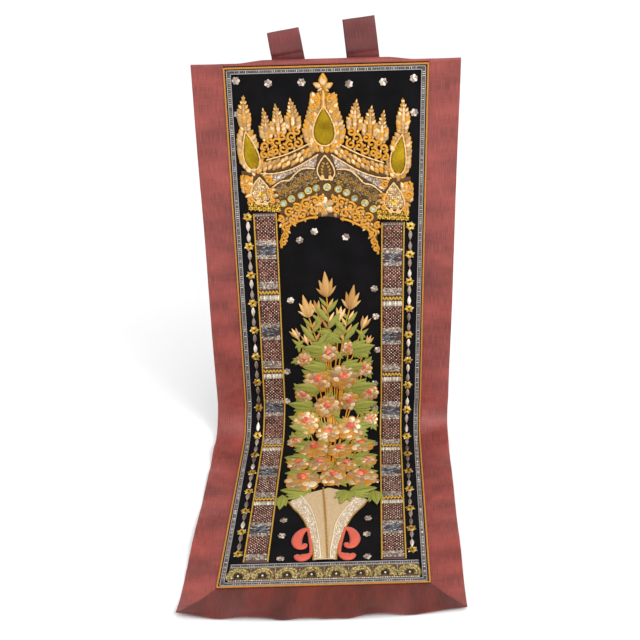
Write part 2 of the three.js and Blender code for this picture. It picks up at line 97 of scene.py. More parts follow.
def hang(flat):
    """Carry flat points in millimetres to their places in the room in metres."""
    u, v, out = flat[:, 0], -flat[:, 1], flat[:, 2]
    out = out + ripple(u, v)
    fold = FOLD_SIDES + (FOLD_MIDDLE - FOLD_SIDES) * smooth((FOLD_EVEN + FOLD_FADE - np.abs(u)) / FOLD_FADE)
    over = np.clip(-v / fold, 0, np.pi)
    fold_y = fold - (fold + out) * np.cos(over)
    fold_z = (fold + out) * np.sin(over) - np.maximum(0, -v - np.pi * fold)
    turn = np.clip((v - DROP) / BEND_RADIUS, 0, np.pi / 2)
    bend_y = (BEND_RADIUS - out) * np.cos(turn) - BEND_RADIUS - np.maximum(0, v - DROP - BEND_LENGTH)
    bend_z = -DROP - (BEND_RADIUS - out) * np.sin(turn)
    x = u + DRIFT * np.maximum(0, v - DROP)
    y = np.where(v < 0, fold_y, np.where(v <= DROP, -out, bend_y))
    z = np.where(v < 0, fold_z, np.where(v <= DROP, -v, bend_z))
    return np.stack([x, y, z], axis=1) * MM


FLOOR_Z = (-DROP - BEND_RADIUS - 2.0) * MM
print("floor at", round(FLOOR_Z, 4), "m")

# %% [markdown]
# ## Three ways to put something on the cloth
#
# Nearly all of this work is one of three things: a flat shape laid on the velvet, one small shape sewn
# down hundreds of times, or a cord couched along a line. So we write three helpers. A small shape is
# modelled once with bmesh and its copies are placed as one array, because a thousand separate objects
# would be slow. A cord is a Blender curve with a round bevel, turned into a mesh before it is hung.

# %% Helpers for pieces
def add_piece(name, mesh, finish, nodes=()):
    mesh.materials.clear()
    mesh.materials.append(finish)
    obj = bpy.data.objects.new(name, mesh)
    bpy.context.scene.collection.objects.link(obj)
    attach(obj, "root")
    if nodes:
        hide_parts(*nodes)
    return obj


def hang_mesh(mesh):
    flat = np.empty(len(mesh.vertices) * 3)
    mesh.vertices.foreach_get("co", flat)
    mesh.vertices.foreach_set("co", hang(flat.reshape(-1, 3)).ravel())
    mesh.update()


def lay(name, bm, finish, nodes=(), shade_smooth=True):
    """Hang a flat bmesh and make it a piece."""
    bmesh.ops.recalc_face_normals(bm, faces=bm.faces)
    mesh = bpy.data.meshes.new(name)
    bm.to_mesh(mesh)
    bm.free()
    hang_mesh(mesh)
    mesh.polygons.foreach_set("use_smooth", [shade_smooth] * len(mesh.polygons))
    return add_piece(name, mesh, finish, nodes)


def stamp(bm):
    """Freeze a small bmesh, made about one unit in size, as arrays that can be sewn many times."""
    bmesh.ops.recalc_face_normals(bm, faces=bm.faces)
    bm.verts.index_update()
    verts = np.array([v.co[:] for v in bm.verts])
    faces = [[v.index for v in f.verts] for f in bm.faces]
    bm.free()
    return verts, faces


def sew(name, shape, spots, finish, nodes=(), tilt=0.0, shade_smooth=False, seed=1):
    """Sew copies of a stamp: spots are rows of u, v, height, turn in radians and size in millimetres."""
    verts, faces = shape
    spots = np.array(spots, dtype=float)
    rng = np.random.default_rng(seed)
    u, v, high, turn, size = (spots[:, i, None] for i in range(5))
    lean = rng.uniform(-tilt, tilt, (2, len(spots), 1))
    x, y, z = (verts[None, :, i] * size for i in range(3))
    z = z + x * lean[0] + y * lean[1] + (np.abs(lean[0]) + np.abs(lean[1])) * size
    flat = np.stack(
        [u + x * np.cos(turn) - y * np.sin(turn), -v + x * np.sin(turn) + y * np.cos(turn), high + z], -1
    )
    mesh = bpy.data.meshes.new(name)
    count, corners = len(spots), sum(len(f) for f in faces)
    mesh.vertices.add(count * len(verts))
    mesh.vertices.foreach_set("co", hang(flat.reshape(-1, 3)).ravel())
    mesh.loops.add(count * corners)
    loops = np.concatenate(faces)[None, :] + np.arange(count)[:, None] * len(verts)
    mesh.loops.foreach_set("vertex_index", loops.ravel())
    starts = np.cumsum([0] + [len(f) for f in faces[:-1]])[None, :] + np.arange(count)[:, None] * corners
    mesh.polygons.add(count * len(faces))
    mesh.polygons.foreach_set("loop_start", starts.ravel())
    mesh.polygons.foreach_set("use_smooth", [shade_smooth] * (count * len(faces)))
    mesh.update(calc_edges=True)
    # Each copy's random number sets how bright its foil is: painted glint, with some random tone.
    tone_and_glint = mesh.attributes.new("tone_and_glint", "FLOAT", "POINT")
    tone_and_glint.data.foreach_set("value", np.repeat(rng.random(count), len(verts)))
    return add_piece(name, mesh, finish, nodes)


print("ready to lay flat shapes and to sew small ones")

# %% Helpers for cords
def run(points, step=2.5, closed=False):
    """A smooth line through a few points, in even steps."""
    p = np.array(points, dtype=float)
    ends = (p[-1:], p[:2]) if closed else (2 * p[:1] - p[1:2], 2 * p[-1:] - p[-2:-1])
    q = np.concatenate([ends[0], p, ends[1]])
    t = np.linspace(0, 1, 14, endpoint=False)[:, None]
    parts = []
    for a, b, c, d in zip(q[:-3], q[1:-2], q[2:-1], q[3:]):
        parts.append(
            0.5
            * (2 * b + (c - a) * t + (2 * a - 5 * b + 4 * c - d) * t**2 + (3 * b - a - 3 * c + d) * t**3)
        )
    line = np.concatenate(parts + [q[-2:-1]])
    gone = np.concatenate([[0], np.cumsum(np.linalg.norm(np.diff(line, axis=0), axis=1))])
    even = np.linspace(0, gone[-1], max(3, int(gone[-1] / step) + 1))
    line = np.stack([np.interp(even, gone, line[:, i]) for i in range(line.shape[1])], 1)
    return line[:-1] if closed else line


def strands(line, radius, twist, closed):
    """The two strands of a twisted cord, wound round a line of u, v points."""
    side = np.gradient(line, axis=0)
    if closed:
        side = np.roll(line, -1, axis=0) - np.roll(line, 1, axis=0)
    side = np.stack([-side[:, 1], side[:, 0]], 1) / np.linalg.norm(side, axis=1)[:, None]
    gone = np.concatenate([[0], np.cumsum(np.linalg.norm(np.diff(line, axis=0), axis=1))])
    turns = max(1, round(gone[-1] / twist))
    angle = gone / gone[-1] * turns * 2 * np.pi
    for start in (0, np.pi):
        wind = angle + start
        yield line + side * (0.5 * radius * np.cos(wind))[:, None], 0.5 * radius * np.sin(wind)


def couch(
    name, lines, radius, finish, nodes=(), lift=0.3, twist=0.0, closed=False, taper=None, press=1.0
):
    """Couch a cord along lines of u, v points; twist is the pitch of a two-strand cord, press flattens it."""
    curve = bpy.data.curves.new(name, "CURVE")
    curve.dimensions = "3D"
    curve.bevel_depth = radius * (0.56 if twist else 1.0)
    curve.bevel_resolution = 1
    curve.use_fill_caps = not closed
    for line in lines:
        line = np.asarray(line)
        wound = strands(line, radius, twist, closed) if twist else [(line, np.zeros(len(line)))]
        for path, rise in wound:
            spline = curve.splines.new("POLY")
            spline.points.add(len(path) - 1)
            high = np.full(len(path), lift / press + radius) + rise
            co = np.stack([path[:, 0], -path[:, 1], high, np.ones(len(path))], 1)
            spline.points.foreach_set("co", co.ravel())
            spline.use_cyclic_u = closed
            if taper is not None:
                spline.points.foreach_set("radius", taper(np.linspace(0, 1, len(path))))
    holder = bpy.data.objects.new(name + "_curve", curve)
    bpy.context.scene.collection.objects.link(holder)
    shaped = holder.evaluated_get(bpy.context.evaluated_depsgraph_get())
    mesh = bpy.data.meshes.new_from_object(shaped)
    bpy.data.objects.remove(holder)
    bm = bmesh.new()
    bm.from_mesh(mesh)
    bmesh.ops.remove_doubles(bm, verts=bm.verts, dist=0.002)
    bmesh.ops.scale(bm, verts=bm.verts, vec=(1, 1, press))
    return lay(name, bm, finish, nodes)


print("ready to couch cords")

# %% [markdown]
# ## Finishes
#
# Each finish is a small node tree on the Principled shader. Thread and velvet need a fine grain that stays
# still on the work, so their noise reads Object coordinates. Sequins flash because no two lie quite alike:
# every copy carries a random number, and a ramp turns it into darker and brighter foil, so the flash is
# painted glint, mixed with some random tone. The silk reads a UV map in tenths of a metre, because its
# slubs follow the threads and not the room.

# %% Parts of a finish
def blank(name, rough, metal=0.0, sheen=0.0, sheen_rough=0.4):
    mat = bpy.data.materials.new(name)
    mat.use_nodes = True
    shader = mat.node_tree.nodes["Principled BSDF"]
    shader.inputs["Roughness"].default_value = rough
    shader.inputs["Metallic"].default_value = metal
    shader.inputs["Sheen Weight"].default_value = sheen
    shader.inputs["Sheen Roughness"].default_value = sheen_rough
    return mat, mat.node_tree, shader


def grain(tree, scale, detail=3.0, coords="Object", stretch=(1, 1, 1)):
    where = tree.nodes.new("ShaderNodeTexCoord")
    fit = tree.nodes.new("ShaderNodeMapping")
    fit.inputs["Scale"].default_value = stretch
    noise = tree.nodes.new("ShaderNodeTexNoise")
    noise.inputs["Scale"].default_value = scale
    noise.inputs["Detail"].default_value = detail
    tree.links.new(where.outputs[coords], fit.inputs["Vector"])
    tree.links.new(fit.outputs["Vector"], noise.inputs["Vector"])
    return noise.outputs["Fac"]


def ramp(tree, value, stops):
    colours = tree.nodes.new("ShaderNodeValToRGB")
    elements = colours.color_ramp.elements
    while len(elements) < len(stops):
        elements.new(0.5)
    for element, (at, colour) in zip(elements, stops):
        element.position = at
        element.color = (*colour, 1)
    tree.links.new(value, colours.inputs["Fac"])
    return colours.outputs["Color"]


def bumped(tree, shader, value, strength, depth_mm):
    bump = tree.nodes.new("ShaderNodeBump")
    bump.inputs["Strength"].default_value = strength
    bump.inputs["Distance"].default_value = depth_mm * MM
    tree.links.new(value, bump.inputs["Height"])
    tree.links.new(bump.outputs["Normal"], shader.inputs["Normal"])


print("parts of a finish: shader, grain, ramp and bump")

# %% Velvet, thread and foil
def velvet(name, dark, light, sheen):
    mat, tree, shader = blank(name, 0.95, sheen=sheen, sheen_rough=0.35)
    pile = grain(tree, 700, 4)
    brushed = grain(tree, 22, 2)
    both = tree.nodes.new("ShaderNodeMath")
    both.operation = "MULTIPLY"
    tree.links.new(pile, both.inputs[0])
    tree.links.new(brushed, both.inputs[1])
    tree.links.new(ramp(tree, both.outputs[0], [(0.12, dark), (0.42, light)]), shader.inputs["Base Color"])
    shader.inputs["Specular IOR Level"].default_value = 0.15
    bumped(tree, shader, pile, 0.5, 0.6)
    return mat


def thread(name, dark, light, rough=0.5, metal=0.0, scale=900, sheen=0.1, depth=0.4):
    mat, tree, shader = blank(name, rough, metal, sheen)
    fibre = grain(tree, scale, 4)
    tree.links.new(ramp(tree, fibre, [(0.3, dark), (0.68, light)]), shader.inputs["Base Color"])
    bumped(tree, shader, fibre, 0.6, depth)
    return mat


def foil(name, dark, middle, light, rough=0.28, metal=0.6):
    mat, tree, shader = blank(name, rough, metal)
    # The random number of each copy picks darker or brighter foil: painted glint, with some random tone.
    tone_and_glint = tree.nodes.new("ShaderNodeAttribute")
    tone_and_glint.attribute_name = "tone_and_glint"
    colour = ramp(tree, tone_and_glint.outputs["Fac"], [(0.0, dark), (0.5, middle), (1.0, light)])
    tree.links.new(colour, shader.inputs["Base Color"])
    bumped(tree, shader, grain(tree, 1400, 2), 0.25, 0.2)
    return mat


print("three kinds of finish: velvet, thread and foil")

# %% The finishes of this work
velvet_black = velvet("velvet_black", (0.0015, 0.0013, 0.0017), (0.0065, 0.0055, 0.0068), 0.02)
velvet_olive = velvet("velvet_olive", (0.17, 0.105, 0.002), (0.56, 0.36, 0.010), 0.12)
gold_orange = thread("gold_orange", (0.42, 0.16, 0.005), (0.84, 0.40, 0.024), 0.42, 0.15)
gold_pale = thread("gold_pale", (0.74, 0.42, 0.13), (0.98, 0.72, 0.36), 0.42, 0.15)
edging_gold = thread("edging_gold", (0.34, 0.13, 0.010), (0.70, 0.32, 0.04), 0.42, 0.2)
gold_yellow = thread("gold_yellow", (0.40, 0.21, 0.012), (0.76, 0.46, 0.05), 0.42, 0.2)
gold_deep = thread("gold_deep", (0.30, 0.13, 0.008), (0.62, 0.33, 0.03), 0.42, 0.3)
braid_dark = thread("braid_dark", (0.02, 0.019, 0.02), (0.11, 0.105, 0.11), 0.5, 0.2)
braid_grey = thread("braid_grey", (0.19, 0.18, 0.18), (0.52, 0.50, 0.50), 0.4, 0.3)
leaf_dark = thread("leaf_dark", (0.07, 0.085, 0.012), (0.20, 0.21, 0.04), 0.6, 0.0, 1100)
leaf_green = thread("leaf_green", (0.14, 0.155, 0.014), (0.37, 0.365, 0.055), 0.65, 0.0, 1100, 0.05)
cream_satin = thread("cream_satin", (0.40, 0.27, 0.13), (0.70, 0.52, 0.32), 0.5, 0.0, 1000, 0.1)
coral_satin = thread("coral_satin", (0.48, 0.052, 0.030), (0.80, 0.15, 0.085), 0.55, 0.0, 1000, 0.2)
white_cord = thread("white_cord", (0.75, 0.62, 0.42), (1.0, 0.93, 0.78), 0.45)
brown_ground = thread("brown_ground", (0.035, 0.018, 0.008), (0.16, 0.085, 0.03), 0.6, 0.1)
amber_ground = thread("amber_ground", (0.030, 0.012, 0.002), (0.14, 0.060, 0.006), 0.6, 0.1)
copper_ground = thread("copper_ground", (0.03, 0.012, 0.010), (0.12, 0.05, 0.04), 0.6, 0.1)
foil_silver = foil("foil_silver", (0.19, 0.145, 0.125), (0.42, 0.335, 0.285), (0.98, 0.88, 0.76))
foil_blush = foil("foil_blush", (0.40, 0.25, 0.11), (0.56, 0.37, 0.18), (0.95, 0.72, 0.44))
bud_gold = foil("bud_gold", (0.44, 0.21, 0.05), (0.64, 0.37, 0.12), (0.94, 0.66, 0.32), 0.36, 0.3)
foil_copper = foil("foil_copper", (0.035, 0.010, 0.007), (0.12, 0.036, 0.022), (0.28, 0.10, 0.065))
foil_white = foil("foil_white", (0.52, 0.45, 0.33), (0.80, 0.72, 0.56), (1.0, 0.98, 0.88), 0.3, 0.3)
foil_gold = foil("foil_gold", (0.34, 0.17, 0.008), (0.66, 0.38, 0.025), (0.95, 0.66, 0.12))
foil_rosy = foil("foil_rosy", (0.27, 0.20, 0.155), (0.40, 0.31, 0.25), (0.74, 0.62, 0.50))
foil_brown = foil("foil_brown", (0.045, 0.026, 0.010), (0.15, 0.09, 0.036), (0.36, 0.23, 0.10))
foil_grey = foil("foil_grey", (0.15, 0.115, 0.092), (0.34, 0.27, 0.22), (0.64, 0.54, 0.45))
bead_blue = foil("bead_blue", (0.012, 0.016, 0.022), (0.14, 0.175, 0.21), (0.46, 0.51, 0.55), 0.2, 0.3)
bead_pearl = foil("bead_pearl", (0.40, 0.23, 0.16), (0.74, 0.54, 0.42), (1.0, 0.90, 0.78), 0.2, 0.1)
bead_dark = foil("bead_dark", (0.010, 0.006, 0.004), (0.04, 0.022, 0.010), (0.10, 0.06, 0.03), 0.25, 0.2)
petal_peach = foil("petal_peach", (0.40, 0.25, 0.125), (0.52, 0.35, 0.18), (0.93, 0.75, 0.50), 0.3, 0.35)
petal_coral = foil("petal_coral", (0.52, 0.06, 0.025), (0.72, 0.13, 0.065), (0.88, 0.26, 0.14), 0.5, 0.0)
mirror_glass, tree, shader = blank("mirror_glass", 0.06, 0.55)
shader.inputs["Coat Weight"].default_value = 1.0
cloudy = ramp(tree, grain(tree, 260, 2), [(0.35, (0.10, 0.15, 0.11)), (0.62, (0.44, 0.54, 0.42))])
tree.links.new(cloudy, shader.inputs["Base Color"])
print("finishes:", len(bpy.data.materials))

# %% [markdown]
# The silk is hand-woven, so thick and thin threads cross each other. Two stretched noises, one along the
# warp and one along the weft, make the slubs, and a broad third one gives the cloth its soft, unevenly
# dyed look; on the hem it is coarser and stronger and paints light and dark sheen facets. The tabs and
# the hem strip, which was cut across the cloth, get darker silk: painted shade, for the tabs stand back
# in shade and the hem lies at a grazing angle to the light.

# %% Slubbed silk
def silk(name, dark, light, patch=(0.8, 1.6, 1), share=0.55):
    """Silk with a streaky warp.

    patch is the scale of the broad noise along u, v and w, and share is how much of it shows.
    The noise is uneven dyeing, and on the hem painted sheen facets.
    """
    mat, tree, shader = blank(name, 0.45, sheen=0.12, sheen_rough=0.5)
    warp = grain(tree, 5, 5, "UV", (22, 0.7, 1))
    weft = grain(tree, 5, 5, "UV", (0.7, 16, 1))
    # The broad noise is uneven dyeing; at the hem's coarse setting it paints light and dark sheen facets.
    dye_and_sheen = grain(tree, 1.1, 4, "UV", patch)
    cross = tree.nodes.new("ShaderNodeMath")
    cross.operation = "MULTIPLY_ADD"
    cross.inputs[1].default_value = 0.4
    tree.links.new(weft, cross.inputs[0])
    tree.links.new(warp, cross.inputs[2])
    shade = tree.nodes.new("ShaderNodeMath")
    shade.operation = "MULTIPLY"
    shade.inputs[1].default_value = share
    tree.links.new(dye_and_sheen, shade.inputs[0])
    mixed = tree.nodes.new("ShaderNodeMath")
    mixed.operation = "MULTIPLY_ADD"
    mixed.inputs[1].default_value = 0.5
    tree.links.new(cross.outputs[0], mixed.inputs[0])
    tree.links.new(shade.outputs[0], mixed.inputs[2])
    tree.links.new(
        ramp(tree, mixed.outputs[0], [(0.205 + share / 2, dark), (0.525 + share / 2, light)]),
        shader.inputs["Base Color"]
    )
    bumped(tree, shader, cross.outputs[0], 0.4, 0.6)
    return mat


silk_rose = silk("silk_rose", (0.115, 0.016, 0.012), (0.39, 0.067, 0.052))
# The tabs get a darker silk: painted shade, as they stand back in shade behind the top border.
silk_tabs_painted_shade = silk("silk_tabs_painted_shade", (0.06, 0.008, 0.007), (0.20, 0.030, 0.028))
# The hem gets a darker silk with coarse, strong patches: painted shade from its grazing angle, and painted
# sheen facets.
silk_hem_painted_shade_and_sheen = silk("silk_hem_painted_shade_and_sheen", (0.05, 0.005, 0.003), (0.19, 0.021, 0.013), (1.9, 0.5, 1), 0.65)
print("silk ready")

# %% [markdown]
# ## Floor, light and camera
#
# The photograph looks down at the work from a little above its top edge, so the camera stands 1.85 m in
# front, half a metre up, and tips down. A very soft sun from the upper right throws the pale shadow to
# the left, a lamp puts the glints on the sequins, and a bright even sky fills the rest.

# %% Stage
def stage():
    bm = bmesh.new()
    bmesh.ops.create_grid(bm, x_segments=1, y_segments=1, size=9.0)
    bmesh.ops.translate(bm, verts=bm.verts, vec=(0, 0, FLOOR_Z - 0.0006))
    mesh = bpy.data.meshes.new("floor")
    bm.to_mesh(mesh)
    bm.free()
    paper, tree, shader = blank("floor_paper", 0.9)
    tone = ramp(tree, grain(tree, 3, 2), [(0.3, (0.93, 0.93, 0.93)), (0.7, (0.95, 0.95, 0.95))])
    tree.links.new(tone, shader.inputs["Base Color"])
    mesh.materials.append(paper)
    floor = bpy.data.objects.new("floor", mesh)
    bpy.context.scene.collection.objects.link(floor)


stage()
print("floor laid")

# %% Light
SUN_DIRECTION = (-0.38, 0.48, -0.95)


def lamp(name, place, aim, size, watts):
    data = bpy.data.lights.new(name, "AREA")
    data.size = size
    data.energy = watts
    obj = bpy.data.objects.new(name, data)
    bpy.context.scene.collection.objects.link(obj)
    obj.location = place
    obj.rotation_euler = (Vector(aim) - Vector(place)).to_track_quat("-Z", "Y").to_euler()


lamp("key", (1.5, -2.1, 1.2), (0, -0.3, -0.5), 0.9, 27)
lamp("fill", (-2.0, -2.2, 1.2), (0, -0.1, -0.4), 2.2, 8)
day = bpy.data.lights.new("day", "SUN")
day.energy, day.angle = 1.15, math.radians(60)
daylight = bpy.data.objects.new("day", day)
daylight.rotation_euler = Vector(SUN_DIRECTION).to_track_quat("-Z", "Y").to_euler()
bpy.context.scene.collection.objects.link(daylight)
sky = bpy.data.worlds.new("sky")
sky.use_nodes = True
sky.node_tree.nodes["Background"].inputs["Color"].default_value = (1, 1, 1, 1)
sky.node_tree.nodes["Background"].inputs["Strength"].default_value = 0.80
bpy.context.scene.world = sky
bpy.context.scene.view_settings.view_transform = "Standard"
print("lights:", len(bpy.data.lights))

# %% Camera
# The photograph is a square of this many pixels, and its focal length is counted in them too
PHOTO_PIXELS, FOCAL_PIXELS = 640, 1053.5
CAMERA_AT = (-0.0224, -1.8495, 0.4603)
CAMERA_TIP, CAMERA_ROLL = 0.482, -0.027
eye = bpy.data.cameras.new("camera")
eye.sensor_width = 36.0
eye.lens = FOCAL_PIXELS / PHOTO_PIXELS * eye.sensor_width
camera = bpy.data.objects.new("camera", eye)
bpy.context.scene.collection.objects.link(camera)
tip = Matrix.Rotation(math.pi / 2 - CAMERA_TIP, 4, "X")
roll = Matrix.Rotation(CAMERA_ROLL, 4, "Z")
camera.matrix_world = Matrix.Translation(CAMERA_AT) @ tip @ roll
bpy.context.scene.camera = camera
print("camera at", [round(c, 3) for c in camera.location])

# %% [markdown]
# ## The velvet panel
#
# Everything is sewn to this one cloth. It is a grid, fine enough along its length to roll round the bend,
# and a Solidify modifier gives it the two millimetres of velvet and backing behind the face.

# %% Velvet
def cloth(columns, rows, at, bm=None):
    """A grid of cloth: at(across, down), both from 0 to 1, gives arrays of u, v and height."""
    bm = bm or bmesh.new()
    made = bmesh.ops.create_grid(bm, x_segments=columns, y_segments=rows, size=0.5)["verts"]
    share = np.array([v.co[:2] for v in made]) + 0.5
    u, v, high = at(share[:, 0], 1 - share[:, 1])
    uv = bm.loops.layers.uv.get("cloth") or bm.loops.layers.uv.new("cloth")
    for vert, a, b, c in zip(made, u, v, high):
        vert.co = (a, -b, c)
        for loop in vert.link_loops:
            loop[uv].uv = (a / 100, b / 100)
    return bm


def backed(obj, thick):
    solid = obj.modifiers.new("thickness", "SOLIDIFY")
    solid.thickness = thick * MM
    solid.offset = -1
    solid.use_even_offset = True
    return obj


def even_rows(share, start, end):
    """Rows down the cloth, closer together where it bends."""
    stops = [start, DROP, DROP + BEND_LENGTH, end]
    return np.interp(share, [0, 0.45, 0.65, 1], stops)


panel = lay(
    "velvet_panel_cloth",
    cloth(24, 110, lambda a, d: (np.interp(a, [0, 1], [-179.8, 179.8]), even_rows(d, 0.2, 1214.8), 0 * a)),
    velvet_black, ["velvet_panel"],
)
backed(panel, 2.0)
print("velvet panel:", len(panel.data.polygons), "faces")

# %% [markdown]
# ## The silk border
#
# Four strips of silk frame the velvet, mitred at the corners. The top one turns back over the top edge, and
# the hem bellies out a little. Silk sewn to thick embroidery never lies flat: it puckers along the seam and
# keeps soft creases, so each strip is a fine grid whose height is shaped before it is hung.

# %% Border strips
# Soft creases: side, distance down, slope, half width, height
CREASES = [
    (-1, 70, 0.3, 9, 0.7), (-1, 232, -0.25, 12, 1.0), (-1, 398, 0.45, 8, 0.8), (-1, 506, -0.2, 10, 0.9),
    (-1, 655, 0.5, 9, 1.0), (-1, 905, -0.4, 11, 0.9), (-1, 1010, 0.35, 9, 0.8), (-1, 1165, 0.2, 12, 0.9),
    (1, 96, -0.35, 10, 0.8), (1, 215, 0.3, 9, 0.9), (1, 372, -0.45, 12, 0.8), (1, 560, 0.25, 9, 1.0),
    (1, 700, -0.5, 8, 0.8), (1, 868, 0.4, 10, 0.9), (1, 985, -0.3, 9, 0.9), (1, 1120, 0.45, 11, 0.8),
]


def creased(u, v, seam):
    """Height of the silk: puckers that die away from the seam, and a few creases; seam runs from 0 to 1."""
    along = np.where(np.abs(u) > PANEL_HALF, v, u)
    high = 0.42 * np.sin(along / 2.9 + 1.8 * np.sin(along / 37)) * np.exp(-4.5 * seam)
    high += 0.35 * np.sin(along / 7.3 + 2.2 * np.sin(along / 61) + 3 * seam) * seam
    for side, middle, slope, width, rise in CREASES:
        away = (v - middle - slope * (np.abs(u) - PANEL_HALF)) / width
        high += np.where(side * u > PANEL_HALF, rise * np.exp(-away * away), 0)
    return high * np.clip(seam * 6, 0, 1)


def side_strip(side):
    """A side strip, which runs to a point in the mitre at each end."""
    def at(across, down):
        v = np.interp(down, [0, 0.06, 0.5, 0.62, 1], [-57.3, 14, DROP, DROP + BEND_LENGTH, 1280.3])
        inner = PANEL_HALF + 0.32 + SIDE_SILK * (
            np.maximum(0, -v) / TOP_SILK + np.maximum(0, v - PANEL_LENGTH) / HEM_CORNER
        )
        u = side * (inner + (PANEL_HALF + SIDE_SILK - inner) * (across if side > 0 else 1 - across))
        return u, v, creased(u, v, (np.abs(u) - inner) / SIDE_SILK)

    return cloth(12, 400, at)


def top_strip(across, down):
    v = -0.15 - (TOP_SILK - 0.15) * (1 - down)
    half = PANEL_HALF - 0.32 - v * SIDE_SILK / TOP_SILK
    u = (2 * across - 1) * half
    return u, v, 0.25 * np.sin(u / 3.4 + 1.7 * np.sin(u / 33)) * np.clip(-v / 20 - 0.9, 0, 1)


def hem_strip(across, down):
    half = PANEL_HALF - 0.32 + SIDE_SILK * down
    u = (2 * across - 1) * half
    v = PANEL_LENGTH + 0.15 + down * (HEM_CORNER + HEM_BELLY * (1 - (u / half) ** 2))
    slant = 1.7 * np.sin(
        (u + 0.7 * (v - PANEL_LENGTH)) / 11 + 1.8 * np.sin(u / 47)
    ) * down * (1 - 0.6 * down)
    return u, v, 0.8 + slant + creased(np.clip(u, -PANEL_HALF, PANEL_HALF), v, down) - 0.8 * (1 - down) ** 4


for name, bm, finish in [
    ("left", side_strip(-1), silk_rose), ("right", side_strip(1), silk_rose),
    ("top", cloth(130, 34, top_strip), silk_rose), ("hem", cloth(140, 20, hem_strip), silk_hem_painted_shade_and_sheen),
]:
    strip = lay(f"border_{name}_silk", bm, finish, [f"border_{name}"])
    backed(strip, 1.6)
    round_edge = strip.modifiers.new("turned_edge", "BEVEL")
    round_edge.width, round_edge.segments, round_edge.limit_method = 0.6 * MM, 2, "ANGLE"

# %% [markdown]
# ## The hanging tabs
#
# Each tab is one strip of silk folded double over a rod and sewn behind the top border. We draw its path in
# section, sweep a grid along it and tilt it the way it leans in the photograph.

# %% Tabs
def tab_strip(name, u, rise, lean):
    """A tab: its middle, its rise above the top edge, and its lean in degrees."""
    clear, tail, wide = 15.0, 26.0, 58.0
    loop = (rise - clear) / 2
    turn = np.linspace(1.5 * np.pi - 0.16, -0.5 * np.pi + 0.16, 40)
    back = np.concatenate([[-0.96] * 8, 5.8 * np.cos(turn), [0.96] * 8])
    up = np.concatenate(
        [
            np.linspace(-tail, clear - 1, 8), clear + loop + (loop - 0.8) * np.sin(turn),
            np.linspace(clear - 1, -tail, 8)
        ]
    )
    gone = np.concatenate([[0], np.cumsum(np.hypot(np.diff(back), np.diff(up)))])
    bm = bmesh.new()
    made = bmesh.ops.create_grid(bm, x_segments=18, y_segments=70, size=0.5)["verts"]
    uv = bm.loops.layers.uv.new("cloth")
    for vert in made:
        across, along = vert.co.x * wide, (vert.co.y + 0.5) * gone[-1]
        y, z = np.interp(along, gone, back), np.interp(along, gone, up)
        soft = np.clip(z / rise, 0, 1)
        vert.co = (across * (1 - 0.03 * soft), y + 0.5 * soft * math.sin(across / 8.0 + z / 21.0), z)
        for loop_corner in vert.link_loops:
            loop_corner[uv].uv = (across / 100 + u, along / 100)
    place = Matrix.Translation((u, 18.05, 0)) @ Matrix.Rotation(math.radians(-lean), 4, "Y")
    bmesh.ops.transform(bm, matrix=Matrix.Scale(MM, 4) @ place, verts=bm.verts)
    mesh = bpy.data.meshes.new(name + "_silk")
    bm.to_mesh(mesh)
    bm.free()
    mesh.polygons.foreach_set("use_smooth", [True] * len(mesh.polygons))
    tab = add_piece(name + "_silk", mesh, silk_tabs_painted_shade, [name])
    solid = tab.modifiers.new("thickness", "SOLIDIFY")
    solid.thickness, solid.offset = 1.6 * MM, 0
    return tab


tabs = [tab_strip("tab_left", -65, 58, 9), tab_strip("tab_right", 67, 76, 6.5)]
print("tabs:", [t.name for t in tabs])

# %% [markdown]
# ## Small shapes to sew
#
# A sequin is a shallow dish, a bead a ball, a bugle a little rod. Petals start as a squashed ball with one
# end drawn to a point. Each has only a few dozen faces, because some are sewn down thousands of times.

# %% Sequin, bead, bugle, petal, drop, ring and leaf
def sequin():
    bm = bmesh.new()
    bmesh.ops.create_cone(bm, cap_ends=True, segments=8, radius1=1.0, radius2=0.45, depth=0.3)
    bmesh.ops.translate(bm, verts=bm.verts, vec=(0, 0, 0.15))
    return stamp(bm)


def bead():
    bm = bmesh.new()
    bmesh.ops.create_icosphere(bm, subdivisions=1, radius=1.0)
    bmesh.ops.translate(bm, verts=bm.verts, vec=(0, 0, 0.7))
    return stamp(bm)


def bugle(slim):
    bm = bmesh.new()
    bmesh.ops.create_uvsphere(bm, u_segments=6, v_segments=4, radius=1.0)
    bmesh.ops.rotate(bm, verts=bm.verts, cent=(0, 0, 0), matrix=Matrix.Rotation(math.pi / 2, 3, "Y"))
    bmesh.ops.scale(bm, verts=bm.verts, vec=(1, slim, slim))
    bmesh.ops.translate(bm, verts=bm.verts, vec=(0, 0, slim * 0.8))
    return stamp(bm)


def petal(wide, thick, point, segments=8):
    """A petal lies along x with its base at -1 and its tip at 1."""
    bm = bmesh.new()
    bmesh.ops.create_uvsphere(bm, u_segments=segments, v_segments=6, radius=1.0)
    bmesh.ops.rotate(bm, verts=bm.verts, cent=(0, 0, 0), matrix=Matrix.Rotation(math.pi / 2, 3, "Y"))
    for vert in bm.verts:
        x = vert.co.x
        vert.co.y *= wide * (1 - point * max(0, x) ** 1.2) * (1 + 0.12 * x)
        vert.co.z = vert.co.z * thick * (1 - 0.35 * x) + thick * 0.7
    return stamp(bm)


def ring(thick):
    bm = bmesh.new()
    bmesh.ops.create_circle(
        bm, segments=5, radius=thick,
        matrix=Matrix.Translation((1, 0, 0)) @ Matrix.Rotation(math.pi / 2, 4, "X")
    )
    bmesh.ops.spin(
        bm, geom=bm.edges[:], cent=(0, 0, 0), axis=(0, 0, 1), angle=2 * math.pi, steps=12, use_merge=True
    )
    bmesh.ops.remove_doubles(bm, verts=bm.verts, dist=0.001)
    bmesh.ops.translate(bm, verts=bm.verts, vec=(0, 0, thick))
    return stamp(bm)


